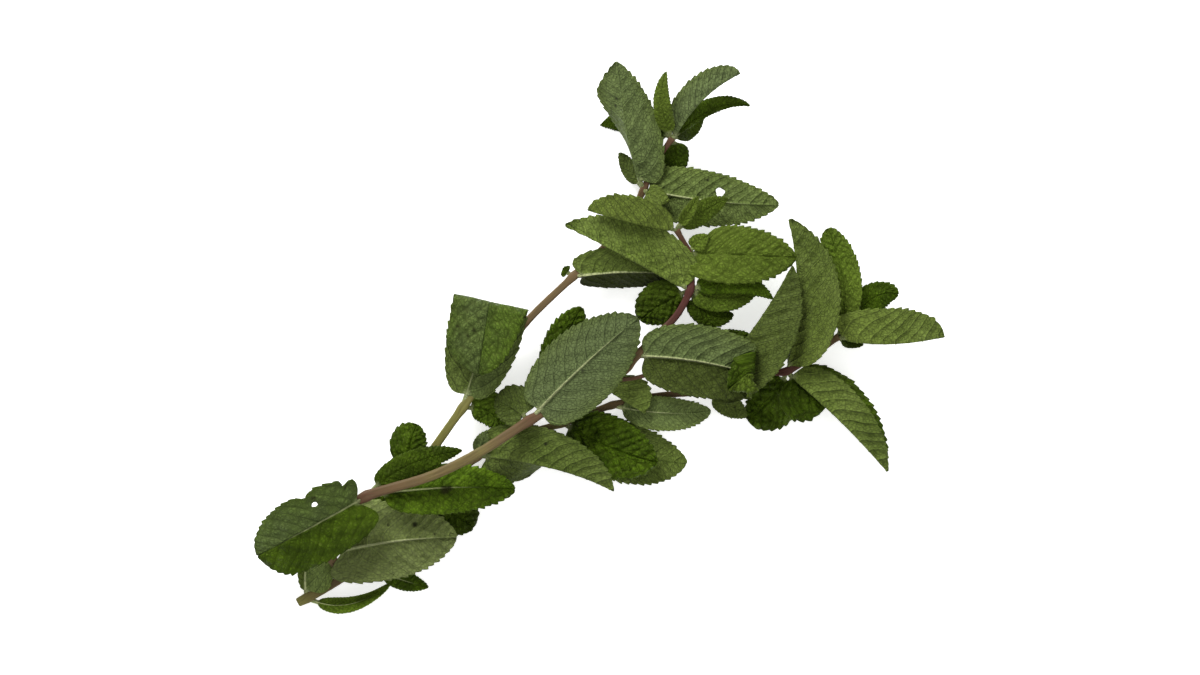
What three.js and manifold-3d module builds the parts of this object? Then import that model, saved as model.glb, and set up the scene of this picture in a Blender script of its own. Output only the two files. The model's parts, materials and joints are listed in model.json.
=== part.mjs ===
// A cut sprig of spearmint lying on a flat surface: square stems that branch from one cut end,
// and toothed leaves, most of them with their pale undersides up, one folded over at its tip
// and several folded shut along the midrib. Millimetres, +Z up. The layout has its own origin,
// and at the end the whole sprig is centred over the origin, resting on the plane z = 0.
//
// npm packages: three, manifold-3d.
import * as THREE from "three";
import Module from "manifold-3d";
import { mergeVertices } from "three/addons/utils/BufferGeometryUtils.js";

const wasm = await Module();
wasm.setup();

// ---- Driving dimensions, in millimetres and degrees ----
const BLADE_THICKNESS = 0.7;
const PETIOLE_HALF_WIDTH = 0.8;
const PETIOLE_LENGTH = 0.8;
const TIP_HALF_WIDTH = 0.45;
const BASE_FULLNESS = 0.46; // exponent of the width towards the base: less is rounder
const TIP_FULLNESS = 0.72; // exponent of the width towards the tip
const LOBE = 0.25; // how far the blade sweeps back round its base, as a share of its width
const LOBE_FADE = 4; // power with which that sweep dies away from the base to the tip
const MIDRIB_BEND = 1.2; // how far each side of the midrib takes up the fold between the halves
const SHARP_FOLD = -70; // a half that drops more than this has more points near the midrib
const FOLDED = -173; // rise of a half that is folded under the other one
const MARGIN_WAVE = 0.35; // height of the waves along a margin
const WAVES_PER_BLADE = 2.5;
const PHASE_STEP = 2.4; // turns the waves of one leaf against those of the next, in radians
const TOOTH_SPACING = 4.6; // the teeth are fewer and larger here than on the leaf
const TOOTH_DEPTH = 1;
const TOOTH_DEPTH_SHARE = 0.14; // most that a tooth may cut into a small leaf's half width
const TOOTH_LEAN = 0.68; // where a tooth's point stands between two notches, towards the tip
const HOLE_SIDES = 10;
const STEM_GAP = 0.35; // clear space between a petiole and the stem that bears it
const PETIOLE_STEP = 0.25; // steps in which a petiole is moved out until it is clear of the stems
const STEM_STEP = 7; // spacing of a stem's stations
const STEM_CHAMFER = 0.42; // corner cut of the square section, as a share of its half width
const NODE_SWELLING = 0.35;
const NODE_REACH = 2; // distance over which a node's swelling dies away
const CENTRE_OF_LAYOUT = [-0.27, 0]; // the layout point that comes to stand over the origin

// ---- How finely the shapes are worked out ----
const BEND_STEPS = 12;
const FEWEST_ROWS = 4; // least and most stretches between the rows of points of a blade
const MOST_ROWS = 10;
const HOLE_REACH = 40; // height of the punch, more than that of the sprig

const UP = 1; // upper side of the leaf faces up
const DOWN = -1; // pale underside faces up

// ---- Layout ----
// Stem centre lines: [x, y, height, half width].
const STEMS = {
  main: [
    [-101, -88.5, 2.3, 1.5], [-91.5, -83.5, 2.3, 1.5], [-80, -75.5, 2.4, 1.55], [-58, -55.5, 2.6, 1.55],
    [-41, -39.5, 2.8, 1.45], [-25.5, -32.5, 2.5, 1.35], [-12.5, -28.5, 2.6, 1.2], [4, -22.5, 3, 1.1],
    [18, -19.5, 3.6, 1.1], [34, -18, 3, 1.1], [45, -15.5, 2.7, 1.1], [53.5, -11.5, 4.7, 1.15],
    [62.5, -11, 8.2, 1.15], [73, -4.5, 9.6, 1], [79.5, 0.5, 12, 0.9],
  ],
  over: [
    [-85, -78.5, 2.4, 1.5], [-88, -76, 5, 1.6], [-90, -72, 8.6, 1.6], [-89, -65.5, 11.5, 1.6],
    [-84.5, -58, 13.8, 1.65], [-77.5, -52.5, 16.4, 1.65], [-56.5, -46, 17, 1.65], [-40, -38, 16.5, 1.65],
    [-23.5, -27.5, 15, 1.6], [-6.5, -18, 13, 1.4], [7.5, -11.5, 12.6, 1.3], [12, -6, 13, 1.3],
    [18.5, 0.5, 11.8, 1.25], [25.5, 7.5, 11.5, 1.2], [30, 16, 12, 1.15], [30.5, 22.5, 12.8, 1],
    [29.5, 28.5, 14.5, 1], [25.5, 36, 17.5, 0.8],
  ],
  back: [
    [-80, -75.5, 2.4, 1.4], [-68.5, -56.5, 2.6, 1.4], [-60, -43.5, 4.5, 1.45], [-53.5, -34, 7, 1.45],
    [-46, -23.5, 8.6, 1.4], [-33.5, -6.5, 7.5, 1.3], [-23.5, 6.5, 7.5, 1.3], [-9, 20.5, 7.6, 1.25],
    [3.5, 32.5, 7, 1.15], [10.5, 42, 7.6, 1.1], [14.5, 49.5, 9, 1], [18.5, 58.5, 11.5, 0.9],
    [24, 66.5, 13, 0.85],
  ],
  twig: [[2, -14, 13, 0.8], [10.5, -13.5, 12.6, 0.7], [18, -11.5, 11.6, 0.7], [26.5, -8, 10.5, 0.7]],
};

// Where leaves and side shoots stand on the stems, counted from the cut end.
const NODES = {
  m0: [-98, -87, 2.3], m1: [-80, -75.5, 2.4], m2: [-58, -55.5, 2.6], m3: [-41, -39.5, 2.8],
  m4: [-12.5, -28.5, 2.6], m5: [4, -22.5, 3], m6: [34, -18, 3], m7: [62.5, -11, 8.2],
  m8: [79.5, 0.5, 12], a0: [-90, -72, 8.6], a1: [-77.5, -52.5, 16.4], a2: [-23.5, -27.5, 15],
  a3: [0, -14.5, 12.9], a4: [12, -6, 13], a5: [30, 16, 12], a6: [29.5, 28.5, 14.5],
  a7: [25.5, 36, 17.5], b1: [-60, -43.5, 4.5], b2: [-46, -23.5, 8.6], b3: [-9, 20.5, 7.6],
  b4: [14.5, 49.5, 9], b5: [24, 66.5, 13], t1: [26.5, -8, 10.5],
};

// Leaves: node, the point half way along the midrib, the tip, the flattened half width on the
// left and the right, which side faces up, and how much each half rises towards the margin in
// degrees, at base, middle and tip. Left is to the left of one who walks from base to tip.
const LEAVES = {
  m0_1: { node: "m0", through: [-98.5, -77.5, 4.8], tip: [-96, -67, 5.4], width: [2.6, 8], side: DOWN,
    left: [10], right: [18, -5], baseFullness: 0.4, petiole: 0.5, lobe: 0.5 },
  m0_2: { node: "m0", through: [-85, -89, 2.6], tip: [-70.5, -82.5, 2.4], width: [4, 4], side: UP,
    left: [50], right: [50] },
  m1_1: { node: "m1", through: [-69.5, -80, 1.2], tip: [-57.5, -83.5, -2], width: [3.4, 3.4], side: UP,
    left: [5], right: [0], petiole: 6 },
  m2_1: { node: "m2", through: [-50.5, -58, 4.4], tip: [-42.5, -63.5, 2.6], width: [8, 7], side: UP,
    left: [0], right: [-4], tipFullness: 0.5 },
  a0_1: { node: "a0", through: [-69.5, -68, 8.4], tip: [-48, -66.5, 7.4], width: [13, 12.8], side: DOWN,
    left: [0, -8], right: [0, -8], baseFullness: 0.4, tipFullness: 0.6, petiole: 1.5, lobe: 1.4 },
  a1_1: { node: "a1", through: [-94.5, -62, 19], tip: [-114, -72.5, 12], width: [14, 11.6], side: UP,
    left: [-2, -8], right: [40, 20, -6], tipFullness: 0.5, petiole: 0.5, lobe: 1.6,
    hole: [-94.5, -55, 0.9] },
  a1_3: { node: "a1", through: [-51.5, -50, 10], tip: [-28.5, -50.5, 7.5], width: [8.4, 9], side: UP,
    left: [-22, 0], right: [30, -5], baseFullness: 0.36, tipFullness: 0.55 },
  a1_4: { node: "a1", through: [-64, -42.5, 13.6], tip: [-46, -37.5, 12], width: [4.5, 4.5], side: UP,
    left: [4, 0], right: [-12, -2], baseFullness: 0.36, petiole: 1, lobe: 0.4 },
  m3_1: { node: "m3", through: [-16, -43, 12], tip: [4.5, -51, 9.8], width: [12.8, 11], side: DOWN,
    left: [20, 0], right: [20, -60, -330], lobe: 0.9 },
  m3_2: { node: "m3", through: [-40, -36, 7.6], tip: [-37.8, -31, 7.6], width: [2.6, 2.6], side: DOWN,
    left: [0], right: [0] },
  b1_1: { node: "b1", through: [-63.5, -38, 6.8], tip: [-61, -29, 6], width: [7, 5.5], side: UP,
    left: [-4], right: [0], tipFullness: 0.5, petiole: 1.2 },
  b1_2: { node: "b1", through: [-67, -51, 5.8], tip: [-77, -57, 5.4], width: [6.5, 6.5], side: UP,
    left: [0], right: [0] },
  b2_1: { node: "b2", through: [-40, -3.5, 12], tip: [-40.5, -12, 18], width: [12.6, 13], side: DOWN,
    left: [0, -3], right: [24, -3], crease: [-36.5, 12, 15.5], baseFullness: 0.46, tipFullness: 0.5,
    petiole: 0.5, lobe: 0.6 },
  b2_2: { node: "b2", through: [-36.5, -25, 6.4], tip: [-32, -33.5, 6], width: [7, 4.6], side: UP,
    left: [8], right: [4], baseFullness: 0.35 },
  a2_1: { node: "a2", through: [-29.5, -23, 12], tip: [-35, -20.5, 9.4], width: [5.8, 8], side: DOWN,
    left: [0], right: [0], baseFullness: 0.3, tipFullness: 0.5, petiole: 0.5, lobe: 0.6 },
  a2_2: { node: "a2", through: [-6.5, -10, 18], tip: [12.5, 6.5, 16.5], width: [12.8, 13.3], side: DOWN,
    left: [-4], right: [12, -6], baseFullness: 0.46, tipFullness: 0.62, petiole: 0.5, lobe: 0.6 },
  m4_1: { node: "m4", through: [-12.5, -6, 8], tip: [-6, 10, 8], width: [8, 8], side: UP, left: [0],
    right: [0], tipFullness: 0.6 },
  m4_2: { node: "m4", through: [8.5, -37.5, 3.5], tip: [29, -42, -4], width: [9.5, 11], side: DOWN,
    left: [0], right: [0], tipFullness: 0.62, petiole: 1.5, lobe: 0 },
  m4_3: { node: "m4", through: [2, -36, 7.6], tip: [19, -41.5, 6.4], width: [10.5, 10.5], side: UP,
    left: [0], right: [-5], tipFullness: 0.62 },
  a3_1: { node: "a3", through: [7.5, -20, 9.4], tip: [15, -25, 8.8], width: [9.5, 7], side: DOWN,
    left: [-8, 0], right: [FOLDED], tipFullness: 0.4, petiole: 1 },
  m5_1: { node: "m5", through: [21.5, -25, 6], tip: [37, -24.5, 4.6], width: [5.5, 6.2], side: DOWN,
    left: [20, 0], right: [0], tipFullness: 0.6 },
  a4_1: { node: "a4", through: [31, -7.5, 16.8], tip: [42.5, -17, 18.8], width: [12.4, 12], side: DOWN,
    left: [20, -4], right: [4, -4], crease: [51, -12, 17], petiole: 0.5, lobe: 0.6 },
  t1_1: { node: "t1", through: [37, -2.5, 8.5], tip: [50.5, 1, 6.5], width: [4.5, 4.5], side: UP,
    left: [0], right: [0] },
  a5_1: { node: "a5", through: [8.5, 27.5, 18], tip: [-11.5, 37.5, 17], width: [7, 14], side: DOWN,
    left: [FOLDED], right: [18, -16], petiole: 0.5, lobe: 0.65 },
  a5_2: { node: "a5", through: [42.5, 13.5, 11.4], tip: [53, 17, 11.2], width: [4.5, 5], side: DOWN,
    left: [0], right: [0], baseFullness: 0.32, petiole: 0.5, lobe: 0.5 },
  a5_3: { node: "a5", through: [20, 11, 9], tip: [13.5, 6, 7], width: [7, 8], side: UP,
    left: [-8], right: [8], baseFullness: 0.36, tipFullness: 0.5, petiole: 1, lobe: 0.1 },
  a5_4: { node: "a5", through: [45, 18.5, 14.4], tip: [57.5, 13, 15.2], width: [4, 4], side: UP,
    left: [0], right: [0], baseFullness: 0.36, petiole: 0.5 },
  a5_5: { node: "a5", through: [36, 8, 9.8], tip: [44.5, 8, 9.4], width: [5, 4.5], side: UP,
    left: [0], right: [0], baseFullness: 0.36 },
  a6_1: { node: "a6", through: [48.5, 27.5, 17], tip: [64.3, 26.5, 16.4], width: [9.8, 9.8], side: UP,
    left: [0], right: [0], baseFullness: 0.42, tipFullness: 0.62, petiole: 0.3, lobe: 0.3 },
  a6_2: { node: "a6", through: [33, 32, 17], tip: [36, 34, 17.4], width: [3, 3], side: UP,
    left: [0], right: [0], baseFullness: 0.36, petiole: 0.5 },
  a7_1: { node: "a7", through: [11.5, 38.5, 23], tip: [-4, 42.5, 21.2], width: [5, 9], side: DOWN,
    left: [FOLDED], right: [4], tipFullness: 0.5, petiole: 0.5 },
  a7_2: { node: "a7", through: [29.5, 42, 21], tip: [32.5, 47, 21.5], width: [2.4, 2.4], side: UP,
    left: [40], right: [30], petiole: 1 },
  a7_3: { node: "a7", through: [34, 42, 18.2], tip: [42.5, 46.5, 17.6], width: [4, 4], side: UP,
    left: [15], right: [-13], petiole: 0.5 },
  b3_1: { node: "b3", through: [8, 22, 11.5], tip: [27, 21, 9.6], width: [9, 9], side: DOWN,
    left: [28, 4], right: [-60, -50], petiole: 0.5, lobe: 1.2 },
  b3_2: { node: "b3", through: [-11, 22, 6.8], tip: [-12.5, 23, 6], width: [2.2, 2.2], side: UP,
    left: [0], right: [0], petiole: 0.3 },
  b4_1: { node: "b4", through: [9, 69.5, 15.5], tip: [5.5, 92, 15], width: [9.5, 11], side: DOWN,
    left: [-80, -124, 35], right: [10, -20], petiole: 1.5 },
  b4_2: { node: "b4", through: [38.5, 45.5, 12.8], tip: [59.5, 44.5, 12], width: [10.2, 9], side: DOWN,
    left: [-2], right: [-6], baseFullness: 0.34, tipFullness: 0.65, petiole: 0.5, lobe: 0.6,
    hole: [40, 48.5, 1.5] },
  b4_3: { node: "b4", through: [10, 56.5, 5], tip: [6.5, 62, 4.5], width: [3, 3], side: DOWN,
    left: [0], right: [0], petiole: 1.5 },
  b4_4: { node: "b4", through: [19, 47, 14], tip: [23, 45.5, 15.5], width: [3.6, 3.6], side: DOWN,
    left: [0], right: [0], baseFullness: 0.36, petiole: 0.5 },
  b5_1: { node: "b5", through: [34, 79.5, 16.8], tip: [46.5, 88, 16.5], width: [7.8, 5.5], side: DOWN,
    left: [0], right: [-140, FOLDED] },
  b5_2: { node: "b5", through: [38, 78, 8.8], tip: [50, 77.5, 9], width: [3, 2.2], side: UP,
    left: [0], right: [-10] },
  b5_3: { node: "b5", through: [25, 59.5, 8.6], tip: [22, 51.5, 8], width: [4.6, 4.6], side: DOWN,
    left: [0], right: [0], baseFullness: 0.34, petiole: 0.5 },
  b5_4: { node: "b5", through: [20.5, 78, 20.4], tip: [22, 88.5, 19.6], width: [3, 3.2], side: UP,
    left: [0], right: [0], baseFullness: 0.36, petiole: 1.5 },
  b5_5: { node: "b5", through: [11, 72, 3.6], tip: [0, 71.5, -7], width: [4.2, 4.2], side: UP,
    left: [4], right: [-3] },
  b5_6: { node: "b5", through: [30, 70, 6.4], tip: [34.5, 76, 5], width: [3.2, 3.2], side: UP,
    left: [0], right: [0] },
  m6_1: { node: "m6", through: [50.5, 1.5, 12], tip: [64.5, 24.5, 11.8], width: [12, 14.5], side: DOWN,
    left: [FOLDED], right: [60, -4, -20], petiole: 1.5, lobe: 0.3 },
  m6_2: { node: "m6", through: [41.5, -21.5, 3.8], tip: [49, -26.5, 2.8], width: [4, 4], side: UP,
    left: [0], right: [0], petiole: 1.5 },
  m7_1: { node: "m7", through: [67, 12.5, 19], tip: [63, 39.5, 17.5], width: [11, 14.5], side: DOWN,
    left: [FOLDED], right: [45, 0], baseFullness: 0.52, petiole: 1.5, lobe: 0 },
  m7_2: { node: "m7", through: [79.5, -26.5, 11.5], tip: [96, -44.5, 7], width: [10.4, 12.8], side: DOWN,
    left: [0], right: [FOLDED], lobe: 0.3 },
  m7_3: { node: "m7", through: [57, -20.5, 3], tip: [49.5, -27.5, -3], width: [9.4, 6.5], side: UP,
    left: [-8, 0], right: [-30, 0], tipFullness: 0.5 },
  m7_4: { node: "m7", through: [68.5, -17.5, 5.8], tip: [75.5, -22.5, 4.6], width: [6, 9.5], side: UP,
    left: [0], right: [12, 4], tipFullness: 0.5 },
  m8_1: { node: "m8", through: [81, 17.5, 12.8], tip: [76, 36.5, 12.6], width: [7, 6.4], side: UP,
    left: [-15, 3], right: [4] },
  m8_2: { node: "m8", through: [96, -1.5, 16.8], tip: [114.5, 0.5, 15], width: [12, 4], side: DOWN,
    left: [28, 0, 0], right: [-165], baseFullness: 0.36, tipFullness: 0.55, petiole: 0.5, lobe: 1 },
  m8_3: { node: "m8", through: [90, 12.5, 8.4], tip: [99.5, 14.5, 8.2], width: [5.4, 5.4], side: UP,
    left: [0], right: [0], tipFullness: 0.5 },
  m8_4: { node: "m8", through: [82.5, -1.4, 8], tip: [88, -2.2, 7.5], width: [1.8, 1.8], side: UP,
    left: [0], right: [0] },
};

const STEM_LOOK = { color: 0x7a6a4c, roughness: 0.6, metalness: 0 };
const UPPER_LOOK = { color: 0x3c5a1e, roughness: 0.55, metalness: 0 };
const UNDER_LOOK = { color: 0x66784a, roughness: 0.75, metalness: 0 };

const point = ([x, y, z]) => new THREE.Vector3(x, y, z);
const { degToRad, clamp, lerp } = THREE.MathUtils;

// ---- Stems ----
const sectionShape = () => {
  const corner = 1 - STEM_CHAMFER;
  const shape = new THREE.Shape();
  shape.moveTo(1, -corner);
  for (const [x, y] of [[1, corner], [corner, 1], [-corner, 1], [-1, corner], [-1, -corner], [-corner, -1],
    [corner, -1]]) shape.lineTo(x, y);
  shape.closePath();
  return shape;
};

// A stem's centre line with its half width, sampled at the given distances along it.
class StemLine {
  constructor(rows) {
    this.curve = new THREE.CatmullRomCurve3(rows.map(point), false, "catmullrom", 0.5);
    this.rows = rows;
    this.length = this.curve.getLength();
  }

  at(share) {
    const last = this.rows.length - 1;
    const t = this.curve.getUtoTmapping(share) * last;
    const row = Math.min(Math.floor(t), last - 1);
    return {
      centre: this.curve.getPointAt(share),
      along: this.curve.getTangentAt(share),
      halfWidth: lerp(this.rows[row][3], this.rows[row + 1][3], t - row),
    };
  }
}

const stemLines = Object.values(STEMS).map((rows) => new StemLine(rows));
const nodePoints = Object.values(NODES).map(point);

function swollen(centre, halfWidth) {
  const near = Math.min(...nodePoints.map((node) => node.distanceTo(centre)));
  return halfWidth + NODE_SWELLING * Math.exp(-((near / NODE_REACH) ** 2));
}

// The extruded section, with each layer of it carried to its station on the centre line.
function stemGeometry(line) {
  const steps = Math.round(line.length / STEM_STEP);
  const geometry = new THREE.ExtrudeGeometry(sectionShape(), { depth: 1, steps, bevelEnabled: false });
  const position = geometry.getAttribute("position");
  for (let i = 0; i < position.count; i += 1) {
    const { centre, along, halfWidth } = line.at(clamp(position.getZ(i), 0, 1));
    const side = new THREE.Vector3(-along.y, along.x, 0).normalize();
    const up = along.clone().cross(side);
    const reach = swollen(centre, halfWidth);
    const place = centre.addScaledVector(side, position.getX(i) * reach);
    place.addScaledVector(up, position.getY(i) * reach);
    position.setXYZ(i, place.x, place.y, place.z);
  }
  return geometry;
}

// ---- Joins and cuts ----
function solidOf(geometry) {
  const bare = geometry.clone();
  for (const name of ["normal", "uv"]) bare.deleteAttribute(name);
  const merged = mergeVertices(bare, 1e-4);
  return new wasm.Manifold(new wasm.Mesh({
    numProp: 3,
    vertProperties: merged.getAttribute("position").array,
    triVerts: new Uint32Array(merged.index.array),
  }));
}

function geometryOf(solid) {
  const { vertProperties, triVerts } = solid.getMesh();
  const geometry = new THREE.BufferGeometry();
  geometry.setAttribute("position", new THREE.BufferAttribute(vertProperties, 3));
  geometry.setIndex(new THREE.BufferAttribute(triVerts, 1));
  return geometry;
}

// ---- Leaves ----
function arcThrough(from, through, to) {
  const control = through.clone().multiplyScalar(2).addScaledVector(from, -0.5).addScaledVector(to, -0.5);
  return new THREE.QuadraticBezierCurve3(from, control, to);
}

// The midrib: one arc through its half-way point, or an arc, a round hairpin at the crease and a
// straight run back to the tip. Also gives the length, and where the hairpin starts and ends.
function midribOf(leaf) {
  const base = point(NODES[leaf.node]);
  const through = point(leaf.through);
  const tip = point(leaf.tip);
  if (!leaf.crease) {
    const curve = arcThrough(base, through, tip);
    return { curve, length: curve.getLength(), hairpin: null };
  }
  const crease = point(leaf.crease);
  const radius = tip.z - crease.z;
  const outwards = crease.clone().sub(through).setZ(0).normalize();
  const turn = crease.clone().addScaledVector(outwards, -radius);
  const low = turn.clone().setZ(crease.z - radius);
  const high = turn.clone().setZ(crease.z + radius);
  const handle = outwards.multiplyScalar((radius * 4) / 3);
  const curve = new THREE.CurvePath();
  curve.add(arcThrough(base, through, low));
  curve.add(new THREE.CubicBezierCurve3(low, low.clone().add(handle), high.clone().add(handle), high));
  curve.add(new THREE.LineCurve3(high, tip));
  return { curve, length: curve.getLength(), hairpin: curve.getCurveLengths().slice(0, 2) };
}

const stemSamples = stemLines.flatMap((line) => {
  const count = Math.ceil(line.length);
  return Array.from({ length: count + 1 }, (_, i) => {
    const { centre, halfWidth } = line.at(i / count);
    return { centre, reach: swollen(centre, halfWidth) };
  });
});

// How far along the midrib the petiole is clear of every stem.
function petioleStart({ curve, length }) {
  const gap = STEM_GAP + PETIOLE_HALF_WIDTH;
  for (let along = 1; along < length; along += PETIOLE_STEP) {
    const place = curve.getPointAt(along / length);
    if (stemSamples.every(({ centre, reach }) => centre.distanceTo(place) > reach + gap)) return along;
  }
  throw new Error("a petiole never gets clear of the stems");
}

// Share of the full width at a share of the blade: steep at the base, tapering to the tip.
function fullnessAt(leaf, share) {
  const base = leaf.baseFullness ?? BASE_FULLNESS;
  const tip = leaf.tipFullness ?? TIP_FULLNESS;
  const widest = base / (base + tip);
  return (share / widest) ** base * ((1 - share) / (1 - widest)) ** tip;
}

// A rise given at the base and the tip, or at base, middle and tip, blended as a quadratic, and
// never past the rise of a folded half.
function riseAt(rises, share) {
  const first = rises[0];
  const last = rises.at(-1);
  const middle = rises.length === 3 ? rises[1] : (first + last) / 2;
  const rest = 1 - share;
  const rise = rest * rest * first + 2 * rest * share * middle + share * share * last;
  return degToRad(Math.max(rise, FOLDED));
}

// The blade across the midrib at one station. From the midrib outwards each half turns from the
// mean of the two halves' slopes to its own slope, so a folded leaf has a round back. Its
// margin is waved, it sweeps back round the base as a lobe, and nothing sinks below z = 0.
class CrossSection {
  constructor(leaf, midrib, along, bladeStart, phase) {
    const share = along / midrib.length;
    const bladeShare = Math.max(0, along - bladeStart) / (midrib.length - bladeStart);
    const heading = point(leaf.crease ?? leaf.tip).sub(point(NODES[leaf.node]));
    this.centre = midrib.curve.getPointAt(share);
    this.along = midrib.curve.getTangentAt(share);
    this.left = new THREE.Vector3(-heading.y, heading.x, 0);
    this.left.addScaledVector(this.along, -this.left.dot(this.along)).normalize();
    this.up = this.along.clone().cross(this.left);
    this.slopes = [riseAt(leaf.right, share), riseAt(leaf.left, share)];
    this.backSweep = (leaf.lobe ?? LOBE) * (1 - bladeShare) ** LOBE_FADE;
    this.wave = 2 * Math.PI * WAVES_PER_BLADE * share + phase;
  }

  // The point at a distance from the midrib on the left (hand 1) or the right (hand -1), where
  // the margin lies at the distance of the half width.
  at(hand, distance, halfWidth) {
    const own = this.slopes[hand > 0 ? 1 : 0];
    const other = this.slopes[hand > 0 ? 0 : 1];
    const place = this.centre.clone();
    const step = distance / BEND_STEPS;
    for (let i = 0; i < BEND_STEPS; i += 1) {
      const slope = lerp((own - other) / 2, own, clamp(((i + 0.5) * step) / MIDRIB_BEND, 0, 1));
      place.addScaledVector(this.left, hand * Math.cos(slope) * step);
      place.addScaledVector(this.up, Math.sin(slope) * step);
    }
    place.addScaledVector(this.along, -this.backSweep * Math.max(0, distance - PETIOLE_HALF_WIDTH));
    place.addScaledVector(this.up, MARGIN_WAVE * Math.sin(this.wave + hand) * (distance / halfWidth) ** 2);
    place.z = Math.max(place.z, BLADE_THICKNESS / 2);
    return place;
  }
}

// Distances along the midrib of the rows of points, from the petiole to the tip, closer round
// the hairpin of a leaf that is folded over.
function rowStations({ length, hairpin }, start, bladeStart) {
  const count = clamp(Math.round((length - bladeStart) / TOOTH_SPACING), FEWEST_ROWS, MOST_ROWS);
  const regular = Array.from({ length: count + 1 }, (_, i) => lerp(bladeStart, length, i / count));
  if (!hairpin) return [start, ...regular];
  const [first, last] = hairpin;
  const room = TOOTH_SPACING / 4;
  const bend = [0, 1 / 3, 2 / 3, 1].map((share) => lerp(first, last, share));
  const open = regular.filter((along) => along < first - room || along > last + room);
  return [start, ...open, ...bend].sort((a, b) => a - b);
}

// Distances from the midrib of a row's inner points: near a sharp fold two more.
function columnsOf(leaf, halfWidth) {
  const folded = Math.min(...leaf.left, ...leaf.right) < SHARP_FOLD;
  const near = folded ? [MIDRIB_BEND / 2, MIDRIB_BEND] : [0];
  const share = Math.min(1, halfWidth / (2 * MIDRIB_BEND));
  const columns = near.map((distance) => distance * share);
  return [...columns.slice(folded ? 0 : 1), (columns.at(-1) + halfWidth) / 2];
}

// The middle surface of a leaf as rows of points from the right margin to the left one, with a
// tooth's point on each margin between two rows of the blade.
function middleSurface(leaf, phase) {
  const midrib = midribOf(leaf);
  const start = petioleStart(midrib);
  const bladeStart = start + (leaf.petiole ?? PETIOLE_LENGTH);
  const places = rowStations(midrib, start, bladeStart);
  const notch = Math.min(TOOTH_DEPTH, Math.max(...leaf.width) * TOOTH_DEPTH_SHARE) / 2;
  const points = [];
  const add = (place) => points.push(place) - 1;

  const halfWidths = (along, margin) => {
    const bladeShare = (along - bladeStart) / (midrib.length - bladeStart);
    if (bladeShare <= 0) return [PETIOLE_HALF_WIDTH, PETIOLE_HALF_WIDTH];
    const fullness = fullnessAt(leaf, Math.min(1, bladeShare));
    return leaf.width.map((width) => Math.max(width * fullness + margin, TIP_HALF_WIDTH));
  };
  const row = (along) => {
    const section = new CrossSection(leaf, midrib, along, bladeStart, phase);
    const [left, right] = halfWidths(along, -notch);
    const distances = (width) => [...columnsOf(leaf, width), width];
    const toMargin = (hand, width) => distances(width).map((d) => section.at(hand, d, width));
    const places = [...toMargin(-1, right).toReversed(), section.at(1, 0, left), ...toMargin(1, left)];
    return places.map(add);
  };
  const tooth = (along) => {
    const section = new CrossSection(leaf, midrib, along, bladeStart, phase);
    const [left, right] = halfWidths(along, notch);
    return { right: add(section.at(-1, right, right)), left: add(section.at(1, left, left)) };
  };
  const rows = places.map(row);
  const teeth = places.slice(1).map((next, i) => {
    const here = places[i];
    return i === 0 || next - here < TOOTH_SPACING / 2 ? null : tooth(lerp(here, next, TOOTH_LEAN));
  });
  return { points, rows, teeth };
}

// Triangles of the middle surface, seen from the side that faces up.
function facesOf({ rows, teeth }) {
  const faces = [];
  for (let i = 0; i + 1 < rows.length; i += 1) {
    const [here, next, tooth] = [rows[i], rows[i + 1], teeth[i]];
    const last = here.length - 2;
    for (let k = 0; k <= last; k += 1) {
      const [a, b, c, d] = [here[k], next[k], next[k + 1], here[k + 1]];
      if (tooth && k === 0) faces.push([a, tooth.right, d], [d, tooth.right, c], [c, tooth.right, b]);
      else if (tooth && k === last) faces.push([a, tooth.left, d], [a, b, tooth.left], [b, c, tooth.left]);
      else if (k <= last / 2) faces.push([a, c, d], [a, b, c]);
      else faces.push([a, b, d], [d, b, c]);
    }
  }
  return faces;
}

// The margin of the middle surface, once round.
function marginOf({ rows, teeth }) {
  const side = (hand, end) => rows.flatMap((row, i) => {
    const tooth = teeth[i] ? [teeth[i][hand]] : [];
    return [row.at(end), ...tooth];
  });
  const across = (row) => row.slice(1, -1);
  return [...across(rows[0]).toReversed(), ...side("right", 0), ...across(rows.at(-1)),
    ...side("left", -1).toReversed()];
}

// The blade: the middle surface moved half the thickness to each side, and closed at the margin.
function bladeGeometry(leaf, phase) {
  const surface = middleSurface(leaf, phase);
  const faces = facesOf(surface);
  const margin = marginOf(surface);
  const count = surface.points.length;
  const middle = new THREE.BufferGeometry().setFromPoints(surface.points);
  middle.setIndex(faces.flat());
  middle.computeVertexNormals();
  const normals = middle.getAttribute("normal");
  const shifted = (share) => surface.points.map((place, i) => {
    const normal = new THREE.Vector3().fromBufferAttribute(normals, i);
    return place.clone().addScaledVector(normal, share * BLADE_THICKNESS);
  });
  const closing = margin.flatMap((a, i) => {
    const b = margin[(i + 1) % margin.length];
    return [[a, a + count, b], [b, a + count, b + count]];
  });
  const under = faces.map(([a, b, c]) => [c + count, b + count, a + count]);
  const geometry = new THREE.BufferGeometry().setFromPoints([...shifted(0.5), ...shifted(-0.5)]);
  geometry.setIndex([...faces, ...under, ...closing].flat());
  return geometry;
}

// A hole eaten through the blade: [x, y, radius].
function punched(geometry, [x, y, radius]) {
  const outline = new THREE.Shape(new THREE.EllipseCurve(x, y, radius, radius * 0.85).getPoints(HOLE_SIDES));
  const punch = new THREE.ExtrudeGeometry(outline, { depth: HOLE_REACH, bevelEnabled: false });
  return geometryOf(solidOf(geometry).subtract(solidOf(punch)));
}

function leafGeometry(leaf, index) {
  const blade = bladeGeometry(leaf, index * PHASE_STEP);
  return leaf.hole ? punched(blade, leaf.hole) : blade;
}

// ---- Assembly ----
const group = new THREE.Group();
group.position.set(-CENTRE_OF_LAYOUT[0], -CENTRE_OF_LAYOUT[1], 0);

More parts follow.
